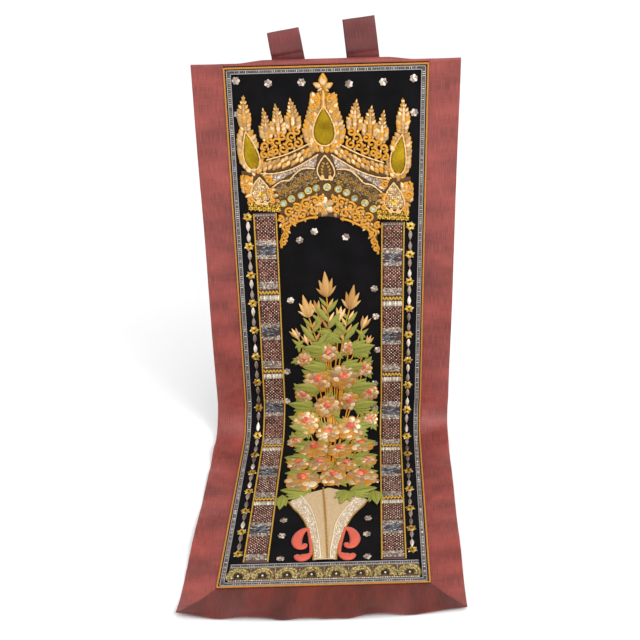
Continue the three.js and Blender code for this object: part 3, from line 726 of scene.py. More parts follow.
def leaf():
    """A pointed leaf with a raised edge round a sunken midrib."""
    bm = bmesh.new()
    bmesh.ops.create_grid(bm, x_segments=8, y_segments=4, size=1.0)
    for vert in bm.verts:
        x, y = vert.co.x, vert.co.y
        half = 0.36 * (1 - abs(x) ** 1.7) ** 0.85 * (1.1 - 0.3 * x)
        vert.co = (x, y * half, 0.16 + 0.10 * (1 - abs(2 * abs(y) - 1)) * (1 - x**4) - 0.05 * abs(x))
    bmesh.ops.remove_doubles(bm, verts=bm.verts, dist=0.004)
    edge = bmesh.ops.extrude_edge_only(bm, edges=[e for e in bm.edges if e.is_boundary])
    bmesh.ops.translate(
        bm, verts=[v for v in edge["geom"] if isinstance(v, bmesh.types.BMVert)], vec=(0, 0, -0.10)
    )
    bmesh.ops.holes_fill(bm, edges=[e for e in bm.edges if e.is_boundary], sides=0)
    return stamp(bm)


SEQUIN, BEAD, BUGLE, SLIM_BUGLE = sequin(), bead(), bugle(0.3), bugle(0.21)
PETAL, ROUND_PETAL, DROPLET = petal(0.66, 0.2, 0.7), petal(0.92, 0.2, 0.1, 10), petal(0.4, 0.2, 0.8)
SLENDER = petal(0.27, 0.14, 0.75)
RING, LEAF, VEIN = ring(0.2), leaf(), bugle(0.035)
print("faces in a sequin, petal, ring and leaf:", [len(s[1]) for s in (SEQUIN, PETAL, RING, LEAF)])


# %% [markdown]
# ## Cord and braid round the panel
#
# A thick twisted gold cord covers the seam between velvet and silk. Inside it runs a silver braid: two
# fine cords with short rungs between them, like a ladder. The twist is real geometry, two strands wound
# round each other, because a painted twist goes flat at the edge of the cord.

# %% Edging cord and ladder braid
def along(points, step, closed=False):
    """A line of straight runs, in even steps."""
    p = np.array(points + points[:1] if closed else points, dtype=float)
    gone = np.concatenate([[0], np.cumsum(np.linalg.norm(np.diff(p, axis=0), axis=1))])
    even = np.linspace(0, gone[-1], int(gone[-1] / step) + 1)
    line = np.stack([np.interp(even, gone, p[:, i]) for i in (0, 1)], 1)
    return line[:-1] if closed else line


def oblong(half, top, bottom):
    return [(-half, top), (half, top), (half, bottom), (-half, bottom)]


def slabs(name, boxes, high, finish, nodes):
    """Thin flat grounds, each given by its left, right, top and bottom edges on the cloth."""
    bm = bmesh.new()
    for left, right, top, bottom in boxes:
        rows = max(2, int((bottom - top) / 7))
        cloth(6, rows, lambda a, d: (left + (right - left) * a, top + (bottom - top) * d, high + 0 * a), bm)
    return backed(lay(name, bm, finish, nodes), high)


seam = along(oblong(PANEL_HALF, 2.8, PANEL_LENGTH), 1.7, True)
couch("edging_cord", [seam], 1.95, edging_gold, ["gold_cord"], 0, 8, True)
# Left, right, top and bottom edges of the dark tape under each length of braid
BRAID_TAPES = [
    (-176.8, -168, 6, 1211.7), (168, 176.8, 6, 1211.7), (-168, 168, 6, 13.8), (-168, 168, 1203.7, 1211.7),
    (-164, 164, 1158, 1167),
]
slabs("braid_ground", BRAID_TAPES, 0.8, braid_dark, ["silver_braid", "frieze_braid"])
rails = [along(oblong(175.6, 7.2, 1210.6), 3.2, True), along(oblong(169, 12.9, 1204.6), 3.2, True)]
couch("braid_rails", rails, 0.85, braid_grey, (), 0.6, 0, True)
frieze_rails = [along([(-163, v), (163, v)], 3.2) for v in (1159, 1166)]
couch("frieze_rails", frieze_rails, 0.85, braid_grey, (), 0.6)
rungs = [(side * 172.3, v, 0.7, 0, 2.7) for side in (-1, 1) for v in np.arange(17, 1202, 3.9)]
rungs += [(u, v, 0.7, np.pi / 2, 2.5) for v in (10, 1207.6, 1162.5) for u in np.arange(-161, 162, 3.9)]
sew("braid_rungs", BUGLE, rungs, foil_silver, shade_smooth=True, seed=2)
print("braid rungs:", len(rungs))

# %% [markdown]
# ## The frieze
#
# Along the foot runs a row of eight horseshoe scallops: rows of beads in olive gold and straw round a
# dark centre with one cream bead. We work out the bead places with a little trigonometry and sew each
# colour in one go.

# %% Scallops of beads
bead_olive = foil("bead_olive", (0.115, 0.078, 0.014), (0.32, 0.225, 0.055), (0.60, 0.46, 0.18), 0.25, 0.3)
bead_straw = foil("bead_straw", (0.24, 0.165, 0.055), (0.41, 0.30, 0.11), (0.75, 0.59, 0.30), 0.25, 0.2)
slabs("frieze_ground", [(-164, 164, 1168, 1202)], 1.2, brown_ground, ["frieze"])


def arc_spots(u, v, radius, gap, size, high):
    """Beads along a horseshoe that opens downwards."""
    steps = max(2, int((np.pi + 0.9) * radius / gap))
    return [
        (u + radius * np.cos(t), v - radius * np.sin(t), high, 0, size)
        for t in np.linspace(-0.45, np.pi + 0.45, steps)
    ]


def bead_row(v):
    """A straight row of beads across the frieze."""
    return [(u, v, 1.2, 0, 1.2) for u in np.linspace(-162, 162, 110)]


SCALLOP_V, EYE_V = 1189.5, 1190
scallops = np.linspace(-147, 147, 8)
top_row, foot_row = bead_row(1169.3), bead_row(1200.6)
olive = [s for u in scallops for r in (19.4, 14.4, 9.2) for s in arc_spots(u, SCALLOP_V, r, 2.5, 1.5, 1.2)]
straw = [s for u in scallops for r in (16.9, 11.8) for s in arc_spots(u, SCALLOP_V, r, 2.6, 1.6, 1.3)]
cream = foot_row + [(u, EYE_V, 1.8, 0, 2.0) for u in scallops]
sew("frieze_olive", BEAD, olive + top_row, bead_olive, seed=3, shade_smooth=True)
sew("frieze_straw", BEAD, straw, bead_straw, seed=4, shade_smooth=True)
sew("frieze_cream", BEAD, cream, foil_white, seed=5, shade_smooth=True)
uprights = [(u + 21, 1173 + 3.4 * k, 1.2, 0, 1.4) for u in scallops[:-1] for k in range(5)]
sew("frieze_grey", BEAD, uprights, foil_grey, seed=7, shade_smooth=True)
eyes = [s for u in scallops for r in (6.4, 4.2) for s in arc_spots(u, EYE_V, r, 2.4, 1.3, 1.2)]
sew("frieze_eyes", BEAD, eyes, bead_dark, seed=6, shade_smooth=True)
print("scallops:", len(scallops))

# %% [markdown]
# ## The pillars
#
# Two bands of solid beadwork carry the arch. Five times over they repeat a gold zigzag, a white row, a
# field of copper sequins, grey, a knot of blue-grey bugles, grey again and more copper. A sequin is held
# by a bead, so light specks lie among the copper. Each kind of bead is one piece, laid on both pillars at
# once.

# %% Pillars
PILLAR_TOPS = {-1: 277, 1: 302}
PILLAR_FOOT, PILLAR_MIDDLE = 1154, 120.5
PILLAR_INNER, PILLAR_OUTER = 98, 143
# One repeat: kind of bead, where its band starts and ends, in parts of REPEAT_PARTS
REPEATS, REPEAT_PARTS = 5, 177
BANDS = [
    ("white", 5, 19), ("copper", 19, 67), ("grey", 67, 78), ("blue", 78, 98), ("grey", 98, 108),
    ("copper", 108, 154), ("grey", 154, 172)
]
LATTICE = 6.8
spots = {kind: [] for kind in ("white", "copper", "grey", "blue", "pearl")}
zigzags, pillar_edges = [], []
pick = np.random.default_rng(11)
for side, top in PILLAR_TOPS.items():
    start = top - 12
    period = (PILLAR_FOOT - start) / REPEATS
    axis = side * PILLAR_MIDDLE
    for edge in (99.6, 141.4):
        pillar_edges.append(along([(side * edge, top + 1), (side * edge, 1153)], 1.9))
    for k in range(REPEATS + 1):
        base = start + k * period
        if top + 4 < base + 4 < 1156:
            zig = [
                (axis + x, min(base, 1149) + (3.4 if i % 2 else -3.4))
                for i, x in enumerate(np.linspace(-18.5, 18.5, 12))
            ]
            zigzags.append(along(zig, 2.2))
        if k == REPEATS:
            break
        for kind, a, b in BANDS:
            v0, v1 = max(top + 2, base + a * period / REPEAT_PARTS), base + b * period / REPEAT_PARTS
            if v1 - v0 < 3:
                continue
            middle = (v0 + v1) / 2
            if kind == "white":
                spots["white"] += [
                    (axis + x, middle, 1.0, np.pi / 2 + pick.normal(0, 0.05), (v1 - v0) / 2)
                    for x in np.arange(-18, 18.1, 3.0)
                ]
            elif kind == "blue":
                for row, v in enumerate(np.arange(v0 + 1.6, v1, 2.7)):
                    for x in np.arange(-16 - (row % 2) * 2.5, 18, 6.2):
                        gap = abs(abs(x) - 12) < 5 and abs(v - middle) < 6
                        if pick.random() > (0.55 if gap else 0.04):
                            spots["blue"].append((axis + x, v, 1.0, pick.normal(0, 0.08), 3.2))
            elif kind == "copper":
                for row, v in enumerate(np.arange(v0 + 2.0, v1 - 1.0, LATTICE / 2)):
                    for x in np.arange(-18 + (row % 2) * LATTICE / 2, 18.4, LATTICE):
                        u, w = axis + x + pick.normal(0, 0.15), v + pick.normal(0, 0.15)
                        spots["copper"].append((u, w, 1.0, pick.uniform(0, 1), 2.5))
                        if x + LATTICE / 2 < 18.4:
                            spots["pearl"].append((u + LATTICE / 2, w, 1.5, 0, pick.uniform(0.85, 1.3)))
            else:
                for row, v in enumerate(np.arange(v0 + 1.4, v1 - 0.6, 2.7)):
                    for x in np.arange(-18.2 + (row % 2) * 1.55, 18.6, 3.1):
                        u, w = axis + x + pick.normal(0, 0.25), v + pick.normal(0, 0.25)
                        spots["grey"].append((u, w, 1.0, pick.uniform(0, 1), 1.75))
PILLARS = ["pillar_left", "pillar_right"]
grounds = [
    (-PILLAR_OUTER, -PILLAR_INNER, PILLAR_TOPS[-1], PILLAR_FOOT),
    (PILLAR_INNER, PILLAR_OUTER, PILLAR_TOPS[1], PILLAR_FOOT),
]
slabs("pillar_ground", grounds, 1.0, copper_ground, PILLARS)
couch("pillar_edges", pillar_edges, 1.75, gold_yellow, (), 0.4, 5.5)
couch("pillar_zigzags", zigzags, 1.6, gold_yellow, (), 0.9)
sew("pillar_copper", SEQUIN, spots["copper"], foil_copper, PILLARS, 0.22, seed=7)
sew("pillar_grey", SEQUIN, spots["grey"], foil_grey, (), 0.25, seed=8)
sew("pillar_pearls", BEAD, spots["pearl"], bead_pearl, seed=9, shade_smooth=True)
sew("pillar_white", SLIM_BUGLE, spots["white"], foil_white, seed=10, shade_smooth=True)
sew("pillar_blue", BUGLE, spots["blue"], bead_blue, seed=11, shade_smooth=True)
print({kind: len(rows) for kind, rows in spots.items()})

# %% [markdown]
# ## The chains
#
# Between pillar and braid hangs a chain of small gold flowers. Two silver drops meet tip to tip
# between each flower and the next. Every flower is made of the same sewn petal, turned round its middle.

# %% Chains of rosettes and drops
def flower(u, v, count, away, size, high, start=0.0):
    """Petals in a ring at a distance from its middle, each pointing outwards."""
    turns = start + np.arange(count) * 2 * np.pi / count
    return [(u + away * np.cos(t), v - away * np.sin(t), high, t, size) for t in turns]


chain = {"gold": [], "silver": [], "drops": [], "eyes": []}
CHAIN_OUT, CHAIN_FOOT, CHAIN_FLOWERS = 153.5, 1130, 15
for side, top in ((-1, 284), (1, 311)):
    beads = np.linspace(top, CHAIN_FOOT, CHAIN_FLOWERS)
    for k, v in enumerate(beads):
        u = side * CHAIN_OUT
        chain["silver"] += flower(u, v, 6, 6.6, 3.4, 0.2, 0.3 + k)
        chain["gold"] += flower(u, v, 7, 4.6, 3.2, 0.9, 0.2 * k)
        chain["eyes"].append((u, v, 1.9, 0, 1.9))
        if k < CHAIN_FLOWERS - 1:
            half = (beads[1] - top - 17) / 4
            chain["drops"] += [
                (u, v + 8.5 + half, 0.1, -np.pi / 2, half),
                (u, beads[k + 1] - 8.5 - half, 0.1, np.pi / 2, half)
            ]
CHAINS = ["chain_left", "chain_right"]
sew("chain_drops", DROPLET, chain["drops"], foil_silver, CHAINS, 0.04, True, 12)
sew("chain_silver", PETAL, chain["silver"], foil_silver, (), 0.1, True, 13)
sew("chain_gold", ROUND_PETAL, chain["gold"], foil_gold, (), 0.08, True, 14)
sew("chain_eyes", BEAD, chain["eyes"], bead_dark, seed=15, shade_smooth=True)
print("chain flowers:", len(chain["eyes"]))

# %% [markdown]
# ## The pediment: grounds
#
# The upper part is a crown of flames over an arch. It hangs slightly askew on the real panel, so every
# place on it goes through one small function that leans it. Each flame is listed as rows of height and
# width, the way one would cut it from card. The card itself is a dark ground that shows between the
# petals.

# %% Grounds of arch, flames, horns and spires
def by_eye(u, v):
    """Lean a place of the pediment: to the left at its top, and down on its right side."""
    low = min(1, max(0, (v - 160) / 120))
    return u - 6 * (1 - low), v + (0.045 + 0.055 * low) * u


# Rows of distance down and half width, from foot to tip
MIDDLE_FLAME = [
    (156, 16), (142, 33), (122, 37), (100, 31), (78, 24), (54, 21), (49, 6), (46, 6), (40, 13), (32, 8),
    (18.5, 0.8)
]
# Rows of distance down, distance out and half width
HORN = [
    (201, 132, 12), (185, 135, 20), (160, 138, 19), (136, 141, 15), (120, 142, 8), (100, 143, 11),
    (82, 144, 8), (58, 142, 0.8)
]
# Rows of height above the foot, half width and lean outwards
SPIRE = [(0, 15, 0), (30, 12, 0), (58, 13, 1), (66, 8, 1), (80, 6, 2), (96, 0.8, 5)]
# Feet of the three spires on each side: out, down and scale of their width
SPIRE_FEET = [(55, 157, 1.0), (82, 168, 1.0), (104, 176, 0.8)]
# Right half of the arch, from the crown down its outside and back along its lower edge
ARCH_EDGE = [
    (16, 157.5), (34, 148.5), (67, 164.5), (112, 179.5), (113, 203), (156, 203), (156, 248), (149, 270),
    (149, 285), (92, 285), (90, 360), (80, 318), (55, 299), (21, 289)
]


def flame_rows(kind, side=1, foot=None):
    """Rows of v, middle and half width, from the foot of a flame to its tip."""
    if kind == "middle":
        return [(v, 0, half) for v, half in MIDDLE_FLAME]
    if kind == "horn":
        return [(v, side * out, half) for v, out, half in HORN]
    out, v, wide = foot
    return [(v - up, side * (out + lean), half * wide) for up, half, lean in SPIRE]


def outline(rows):
    """Both edges of a flame, up its right side and down its left."""
    right = [by_eye(u + half, v) for v, u, half in rows]
    left = [by_eye(u - half, v) for v, u, half in reversed(rows)]
    return right + left


def cutout(bm, points, high):
    """A flat shape cut from card, from its outline: one face, extruded to its height."""
    face = bm.faces.new([bm.verts.new((u, -v, 0)) for u, v in points])
    face.normal_update()
    if face.normal.z < 0:
        face.normal_flip()
    top = bmesh.ops.extrude_face_region(bm, geom=[face])["geom"]
    bmesh.ops.translate(bm, verts=[g for g in top if isinstance(g, bmesh.types.BMVert)], vec=(0, 0, high))


spire_rows = {side: [flame_rows("spire", side, foot) for foot in SPIRE_FEET] for side in (-1, 1)}
arch_line = [by_eye(u, v) for u, v in ARCH_EDGE] + [by_eye(0, 287)]
arch_line += [by_eye(-u, v) for u, v in reversed(ARCH_EDGE)]
bm = bmesh.new()
cutout(bm, arch_line, 0.9)
lay("arch_ground", bm, amber_ground, ["arch"], False)
bm = bmesh.new()
flames = [flame_rows("middle"), flame_rows("horn", -1), flame_rows("horn", 1)]
flames += spire_rows[-1] + spire_rows[1]
for rows in flames[:3] + [[(rows[1][0] - 12, rows[1][1], rows[1][2])] + rows[2:] for rows in flames[3:]]:
    cutout(bm, outline([(v, u, half * 0.85) for v, u, half in rows]), 0.7)
lay(
    "flame_grounds", bm, gold_deep,
    ["middle_flame", "horn_left", "horn_right", "spires_left", "spires_right"], False
)
print("flames:", len(flames))

# %% [markdown]
# ## The pediment: petals and sequins
#
# The flames are covered in overlapping petals, each edged in orange: an orange petal below, a smaller
# blush one on top. Rows run from foot to tip, and the outer petals fan out past the edge, which gives the
# flames their flickering outline. Between the cords of the arch, sequins fill the bands row by row.

# %% Where petals go on a flame
def teardrop_line(u, point, base, half, lean, count=48):
    """Outline of a teardrop from its tip, at point, to its base; half is its half width."""
    a = np.linspace(0, 2 * np.pi, count, endpoint=False)
    down = (1 - np.cos(a)) / 2
    across = half * 1.3 * np.sin(a) * np.abs(np.sin(a / 2))
    flat = np.stack([u + lean * (1 - down) ** 2 - across, point + (base - point) * down], 1)
    return np.array([by_eye(*p) for p in flat])


# Padded teardrops: out, tip, foot, half width and lean of the tip
PADS = [(-133, 124, 199, 13, -9), (133, 124, 199, 13, 9), (0, 74, 148, 18, 0)]


def inside(point, polygon):
    """Whether a point is in a polygon: count the edges that a level line from it crosses."""
    x, y = point
    a, b = np.asarray(polygon), np.roll(np.asarray(polygon), -1, axis=0)
    crosses = (a[:, 1] > y) != (b[:, 1] > y)
    with np.errstate(divide="ignore", invalid="ignore"):
        at = a[:, 0] + (y - a[:, 1]) * (b[:, 0] - a[:, 0]) / (b[:, 1] - a[:, 1])
    return bool(np.sum(crosses & (x < at)) % 2)


def petals_on(rows, keep_off=None, gap=8.0, biggest=7.5, from_row=0.0):
    """Rows of petals up a flame, from from_row above its foot, except inside the outline keep_off."""
    rows = sorted(rows, key=lambda r: -r[0])
    feet = np.array([r[0] for r in rows])
    made = []
    for v in np.arange(feet[0] - 2 - from_row, feet[-1] + 1, -gap):
        middle, half = (np.interp(-v, -feet, [r[i] for r in rows]) for i in (1, 2))
        size = min(biggest, max(2.6, half * 0.66))
        count = max(1, int(round(2 * half / (size * 1.15))))
        for k in range(count):
            off = 0 if count == 1 else (k / (count - 1) - 0.5) * 2
            u = middle + off * max(0, half - size * 0.35)
            spot = by_eye(u, v)
            if keep_off is None or not inside(spot, keep_off):
                made.append((*spot, 0.7, np.pi / 2 - 0.6 * off + pick.normal(0, 0.12), size))
    return made


print("ready to cover the flames")

# %% Petals of the finial, the flames and the spires
pad_lines = [teardrop_line(u, p, b, h * 1.25, lean) for u, p, b, h, lean in PADS]
# The finial stands on a stem above the middle flame: out, down, turn, size
FINIAL = [
    (0, 27, np.pi / 2, 11.5), (10, 37, 0.5, 8.0), (-10, 37, np.pi - 0.5, 8.0), (6, 45, -0.6, 4.8),
    (-6, 45, np.pi + 0.6, 4.8), (17, 55, 1.1, 6.5), (-17, 55, np.pi - 1.1, 6.5)
]
petals = [(*by_eye(u, v), 0.7, t, z) for u, v, t, z in FINIAL]
petals += petals_on(flame_rows("middle")[:6], pad_lines[2])
petals += petals_on(flame_rows("horn", -1), pad_lines[0])
petals += petals_on(flame_rows("horn", 1), pad_lines[1])
for side in (-1, 1):
    for rows in spire_rows[side]:
        petals += petals_on(rows, None, 7.0, 6.5, 42)
# Small petals between the scrolls under each spire: out, up, turn, size
FOOT_PETALS = [
    (0, 3, 1.6, 4.2), (-13, 5, 2.4, 4), (14, 1, 0.7, 4), (-2, 19, 1.6, 4), (13, 20, 0.9, 4),
    (-14, 25, 2.2, 4), (6, 37, 1.3, 4.5), (-1, 29, 1.8, 4)
]
for side in (-1, 1):
    for out, v, wide in SPIRE_FEET:
        petals += [
            (*by_eye(side * (out + u * wide), v - up), 0.5, t if side > 0 else np.pi - t, z)
            for u, up, t, z in FOOT_PETALS
        ]
# Petals round the small teardrops and along the foot of the arch: out, down, turn, size
RIM_PETALS = [
    (103, 212, 2.4, 6), (101, 224, 2.9, 6), (101, 238, 3.3, 6), (102, 252, 3.6, 6), (146, 216, 0.7, 6.5),
    (148, 254, -0.4, 6.5), (147, 266, -0.8, 6), (114, 207, 2.0, 5), (134, 207, 1.1, 5), (104, 264, 3.9, 5),
    (96, 250, 3.4, 5), (94, 262, 3.8, 5), (143, 241, 0.1, 6), (142, 228, 0.4, 6), (9, 246, 1.6, 5),
    (12, 283, -1.4, 5), (26, 290, -1.6, 4.5), (46, 297, -1.9, 4.5), (66, 308, -2.2, 4.5),
    (77, 324, -2.4, 4.5), (83, 342, -2.4, 4), (22, 246, 1.9, 5), (36, 253, 2.1, 5), (50, 263, 2.2, 5),
    (64, 272, 2.3, 5), (92, 312, -1.2, 4.5), (94, 300, -0.6, 4.5), (62, 290, -2.4, 4), (44, 274, -2.2, 4),
]
for side in (-1, 1):
    wing = [(246, side * 150, 8), (232, side * 149, 10), (210, side * 147, 10)]
    petals += petals_on(wing, None, 8.5, 7.0)
    petals += [(*by_eye(side * u, v), 0.9, t if side > 0 else np.pi - t, z) for u, v, t, z in RIM_PETALS]

print("petals so far:", len(petals))

# %% Petals and sequins between the cords of the arch
def band(upper, lower, side, gap, size, ends=(0, 1), turn=None):
    """Places in rows between two lines of the arch."""
    a, b = run(upper, 1.0), run(lower, 1.0)
    made = []
    count = int(max(np.linalg.norm(np.diff(edge, axis=0), axis=1).sum() for edge in (a, b)) / gap)
    for k in range(count + 1):
        t = ends[0] + (ends[1] - ends[0]) * k / count
        p, q = a[int(t * (len(a) - 1))], b[int(t * (len(b) - 1))]
        deep = np.linalg.norm(q - p)
        rows = max(1, int(deep / (gap * 0.87)))
        for r in range(rows):
            x, v = p + (q - p) * (r + 0.5 + 0.25 * (k % 2)) / (rows + 0.25)
            made.append(
                (*by_eye(side * x, v), 0.9, pick.uniform(0, 6.28) if turn is None else turn(side), size)
            )
    return made


# Lines that the pale cords follow, on the right half
SWAG_1 = [(28, 144.5), (67, 164), (107.5, 177.5)]
SWAG_2 = [(12, 164.5), (57, 192), (92.5, 204), (120.5, 205.5)]
SWAG_3 = [(20, 192), (41.5, 192.5), (57, 203.5), (69, 216.5), (84.5, 220), (101.5, 233)]
SMALL_TEAR_OUT = 124
MIRRORS = [(0, 228), (20.5, 231), (35.5, 237), (49.5, 247.5), (68.5, 255.5), (84, 266)]
scales, silver_spots, brown_spots, blush_spots = [], [], [], []
for side in (-1, 1):
    scales += band(
        [(24, 149), (67, 168), (112, 182)], [(14, 162), (57, 188), (112, 201)], side, 9.6, 6.2, (0.05, 1),
        lambda s: -np.pi / 2 + 0.5 * s
    )
    scales += band(
        [(18, 250), (45, 261), (68, 276), (88, 300)], [(16, 284), (45, 291), (66, 304), (80, 322)], side,
        8.5, 4.4, (0, 1), lambda s: -np.pi / 2 + 0.5 * s
    )
    silver_spots += band(
        [(16, 169), (57, 195), (92.5, 207), (116, 210)], [(20, 190), (57, 201), (84.5, 218), (104, 231)],
        side, 3.6, 2.1
    )
    brown_spots += band(
        [(21, 195), (57, 206), (84.5, 223), (99, 236)], [(14, 222), (40, 231), (68, 247), (88, 258)], side,
        3.7, 2.1
    )
    small_tear = teardrop_line(side * SMALL_TEAR_OUT, 218, 266, 19, 0)
    for v in np.arange(212, 268, 3.7):
        for u in np.arange(101, 143, 3.7):
            spot = by_eye(side * (u + (v % 2)), v)
            if inside(spot, small_tear):
                blush_spots.append((*spot, 0.9, 0, 2.2))
petals += scales
below = [(u, v, h, t, s * 1.12) for u, v, h, t, s in petals]
above = [(u, v, h + 0.7, t, s * 0.86) for u, v, h, t, s in petals]
sew("petals_orange", PETAL, below, gold_orange, (), 0.06, True, 21)
sew("petals_blush", PETAL, above, foil_blush, (), 0.12, True, 22)
sew("arch_silver", SEQUIN, silver_spots, foil_rosy, (), 0.22, seed=23)
sew("arch_brown", SEQUIN, brown_spots, foil_brown, (), 0.22, seed=24)
sew("small_teardrops", SEQUIN, blush_spots, foil_blush, (), 0.22, seed=25)
print("petals:", len(petals), "silver:", len(silver_spots), "brown:", len(brown_spots))

# %% [markdown]
# ## The pediment: cords, scrolls and mirrors
#
# Pale twisted cord draws the swags and the teardrops. Orange cord curls into spirals wherever the velvet
# shows between. A spiral is just a circle whose radius shrinks as it turns. Little mirrors sit in gold
# rings, eleven along the arch and one in the silver flower.

# %% Couched cords
def spiral(u, v, radius, turns=1.6, start=0.0, hand=1):
    """A line that curls inwards from a circle; hand is 1 for anticlockwise and -1 for clockwise."""
    t = np.linspace(0, 1, int(26 * turns))
    r = radius * (1 - 0.86 * t)
    a = start + hand * t * turns * 2 * np.pi
    return np.array([by_eye(u + x, v - y) for x, y in zip(r * np.cos(a), r * np.sin(a))])


def swag(points, side):
    """A smooth line on one side of the pediment."""
    return np.array([by_eye(side * u, v) for u, v in run(points, 2.0)])


# Scrolls of the right half of the arch: out, down, radius, start of the turn and hand
ARCH_SCROLLS = [
    (24, 256, 8.0, 0.5, 1), (42, 264, 8.5, 2.0, -1), (59, 273, 8.5, 0.8, 1), (75, 283, 8.0, 2.4, -1),
    (31, 278, 9.0, 0.4, 1), (50, 286, 9.0, 2.6, -1), (69, 299, 9.5, 1.4, 1), (81, 315, 8.0, 1.8, -1),
    (86, 332, 6.5, 1.6, 1), (88, 346, 5.0, 1.0, -1), (91, 298, 6.0, 1.0, 1), (15, 272, 6.5, 1.2, 1),
    (12, 252, 5.5, 2.4, -1), (149, 219, 8.0, 1.2, -1), (150, 237, 7.5, 0.2, 1), (108, 218, 6.5, 0.6, 1),
    (106, 244, 6.5, 2.0, -1), (143, 262, 6.0, 2.0, -1), (105, 262, 5.0, 1.0, 1),
]
FINE_CURLS = [
    (30, 208, 5.5), (44, 214, 6.5), (59, 226, 6.5), (74, 236, 6.5), (88, 245, 5.5), (22, 218, 4.0)
]
ARCH_INNER = [(92, 357), (91, 340), (82, 319), (70, 305), (55, 299), (38, 292), (21, 289)]
pale, orange, fine = [], [], []
for side in (-1, 1):
    pale += [swag(SWAG_1, side), swag(SWAG_2, side), swag(SWAG_3, side)]
    orange += [
        spiral(side * u, v, radius, 1.2, np.pi / 2, side)
        for u, v, radius in ((12, 61, 6.5), (18, 77, 6.0), (22, 94, 5.5))
    ]
    for out, v, wide in SPIRE_FEET:
        orange += [
            spiral(side * (out - 6.5 * wide), v - 13, 9.6 * wide, 1.2, np.pi / 2, side),
            spiral(side * (out + 7.5 * wide), v - 9, 9.0 * wide, 1.2, np.pi / 2, -side),
            spiral(side * (out + 3.5), v - 26, 9.4 * wide, 1.2, -np.pi / 2, side),
            spiral(side * (out - 6.0), v - 36, 8.0 * wide, 1.2, np.pi / 2, -side),
        ]
    for u, v, radius, start, hand in ARCH_SCROLLS:
        orange.append(
            spiral(side * u, v, 1.12 * radius, 1.25, start if side > 0 else np.pi - start, hand * side)
        )
    for u, v, radius in FINE_CURLS:
        fine += [
            spiral(side * u, v, radius, 2.0, 1.0, side),
            spiral(side * (u + 6), v + 5, radius * 0.6, 1.5, 2.0, -side)
        ]
    orange.append(swag(ARCH_INNER, side))
teardrops = [teardrop_line(u, p, b, h * 1.12, lean) for u, p, b, h, lean in PADS]
teardrops.append(teardrop_line(0, 166, 213, 16, 0))
teardrops += [teardrop_line(side * SMALL_TEAR_OUT, 214, 269, 19, 0) for side in (-1, 1)]
teardrops = [run(t, 2.0, True) for t in teardrops]
couch("pale_teardrops", teardrops, 1.7, gold_pale, (), 2.2, 5.0, True)
pale += [np.array([by_eye(0, v) for v in np.arange(74, 45, -2.0)])]
for side in (-1, 1):
    pale.append(spiral(side * 9, 210, 4.5, 1.3, np.pi / 2, side))
    pale += [spiral(k * SMALL_TEAR_OUT + side * 8, 267, 4.5, 1.3, np.pi / 2, side) for k in (-1, 1)]
couch("pale_swags", pale, 1.7, gold_pale, (), 2.6, 5.0)
couch("orange_scrolls", orange, 2.45, gold_orange, (), 0.9)
couch("fine_curls", fine, 0.55, gold_deep, (), 1.7)
print("scrolls:", len(orange), "cords:", len(pale) + len(teardrops))

# %% Mirrors, gold flowers and the silver flower
SILVER_HEART = by_eye(-8, 267)
dots = [by_eye(*MIRRORS[0])] + [by_eye(side * u, v) for side in (-1, 1) for u, v in MIRRORS[1:]]
dots.append(SILVER_HEART)
bm = bmesh.new()
for u, v in dots:
    made = bmesh.ops.create_circle(
        bm, cap_ends=True, segments=20, radius=5.2, matrix=Matrix.Translation((u, -v, 2.4))
    )["verts"]
    face = made[0].link_faces[0]
    bmesh.ops.inset_region(bm, faces=[face], thickness=1.0, depth=0.35)
    skirt = bmesh.ops.extrude_edge_only(
        bm, edges=[e for e in {e for w in made for e in w.link_edges} if e.is_boundary]
    )["geom"]
    bmesh.ops.translate(bm, verts=[g for g in skirt if isinstance(g, bmesh.types.BMVert)], vec=(0, 0, -1.8))
    bmesh.ops.holes_fill(bm, edges=[e for e in bm.edges if e.is_boundary], sides=0)
lay("mirrors", bm, mirror_glass, (), False)
mirror_rings = [(u, v, 1.2, 0, 6.4) for u, v in dots]
sew("mirror_rings", RING, mirror_rings, foil_gold, (), 0.0, True, 26)
gold_spots, eye_spots = [], []
for side in (-1, 1):
    for row, v in enumerate((272, 281)):
        for u in np.linspace(95, 146, 6 + row):
            spot = by_eye(side * u, v)
            gold_spots += flower(*spot, 6, 2.9, 2.6, 1.0, u)
            eye_spots.append((*spot, 1.8, 0, 1.3))
    gold_spots += flower(*by_eye(side * SMALL_TEAR_OUT, 251), 6, 4.4, 3.6, 1.6)
gold_spots += flower(*by_eye(0, 36), 6, 3.0, 2.6, 1.4)
sew("gold_flowers", PETAL, gold_spots, foil_gold, (), 0.08, True, 27)
sew("flower_eyes", BEAD, eye_spots, bead_dark, seed=28, shade_smooth=True)
silver_petals = flower(*SILVER_HEART, 6, 12.2, 6.9, 1.5, np.pi / 2)
silver_edges = [(u, v, h - 0.7, t, s * 1.16) for u, v, h, t, s in silver_petals]
sew("silver_flower_edges", ROUND_PETAL, silver_edges, gold_orange, (), 0.0, True, 29)
sew("silver_flower", ROUND_PETAL, silver_petals, foil_blush, (), 0.05, True, 29)
SPRIG = [(182, 3.5), (188, 5.5), (194, 7), (200, 7.5), (206, 6)]
sprig = [(*by_eye(s * w, v), 1.1, np.pi / 2 - s * 0.7, 3.4) for s in (-1, 1) for v, w in SPRIG]
sew("sprig_leaves", PETAL, sprig, gold_deep, (), 0.05, True, 30)
print("mirrors:", len(dots), "gold petals:", len(gold_spots))

# %% [markdown]
# ## Padded velvet teardrops
#
# Three stuffed pads of olive velvet sit inside the pale cords. Each is a grid closed into rings: the
# outer one follows the teardrop's outline, and each ring inside it is smaller and higher, so that the pad
# swells like a small cushion.

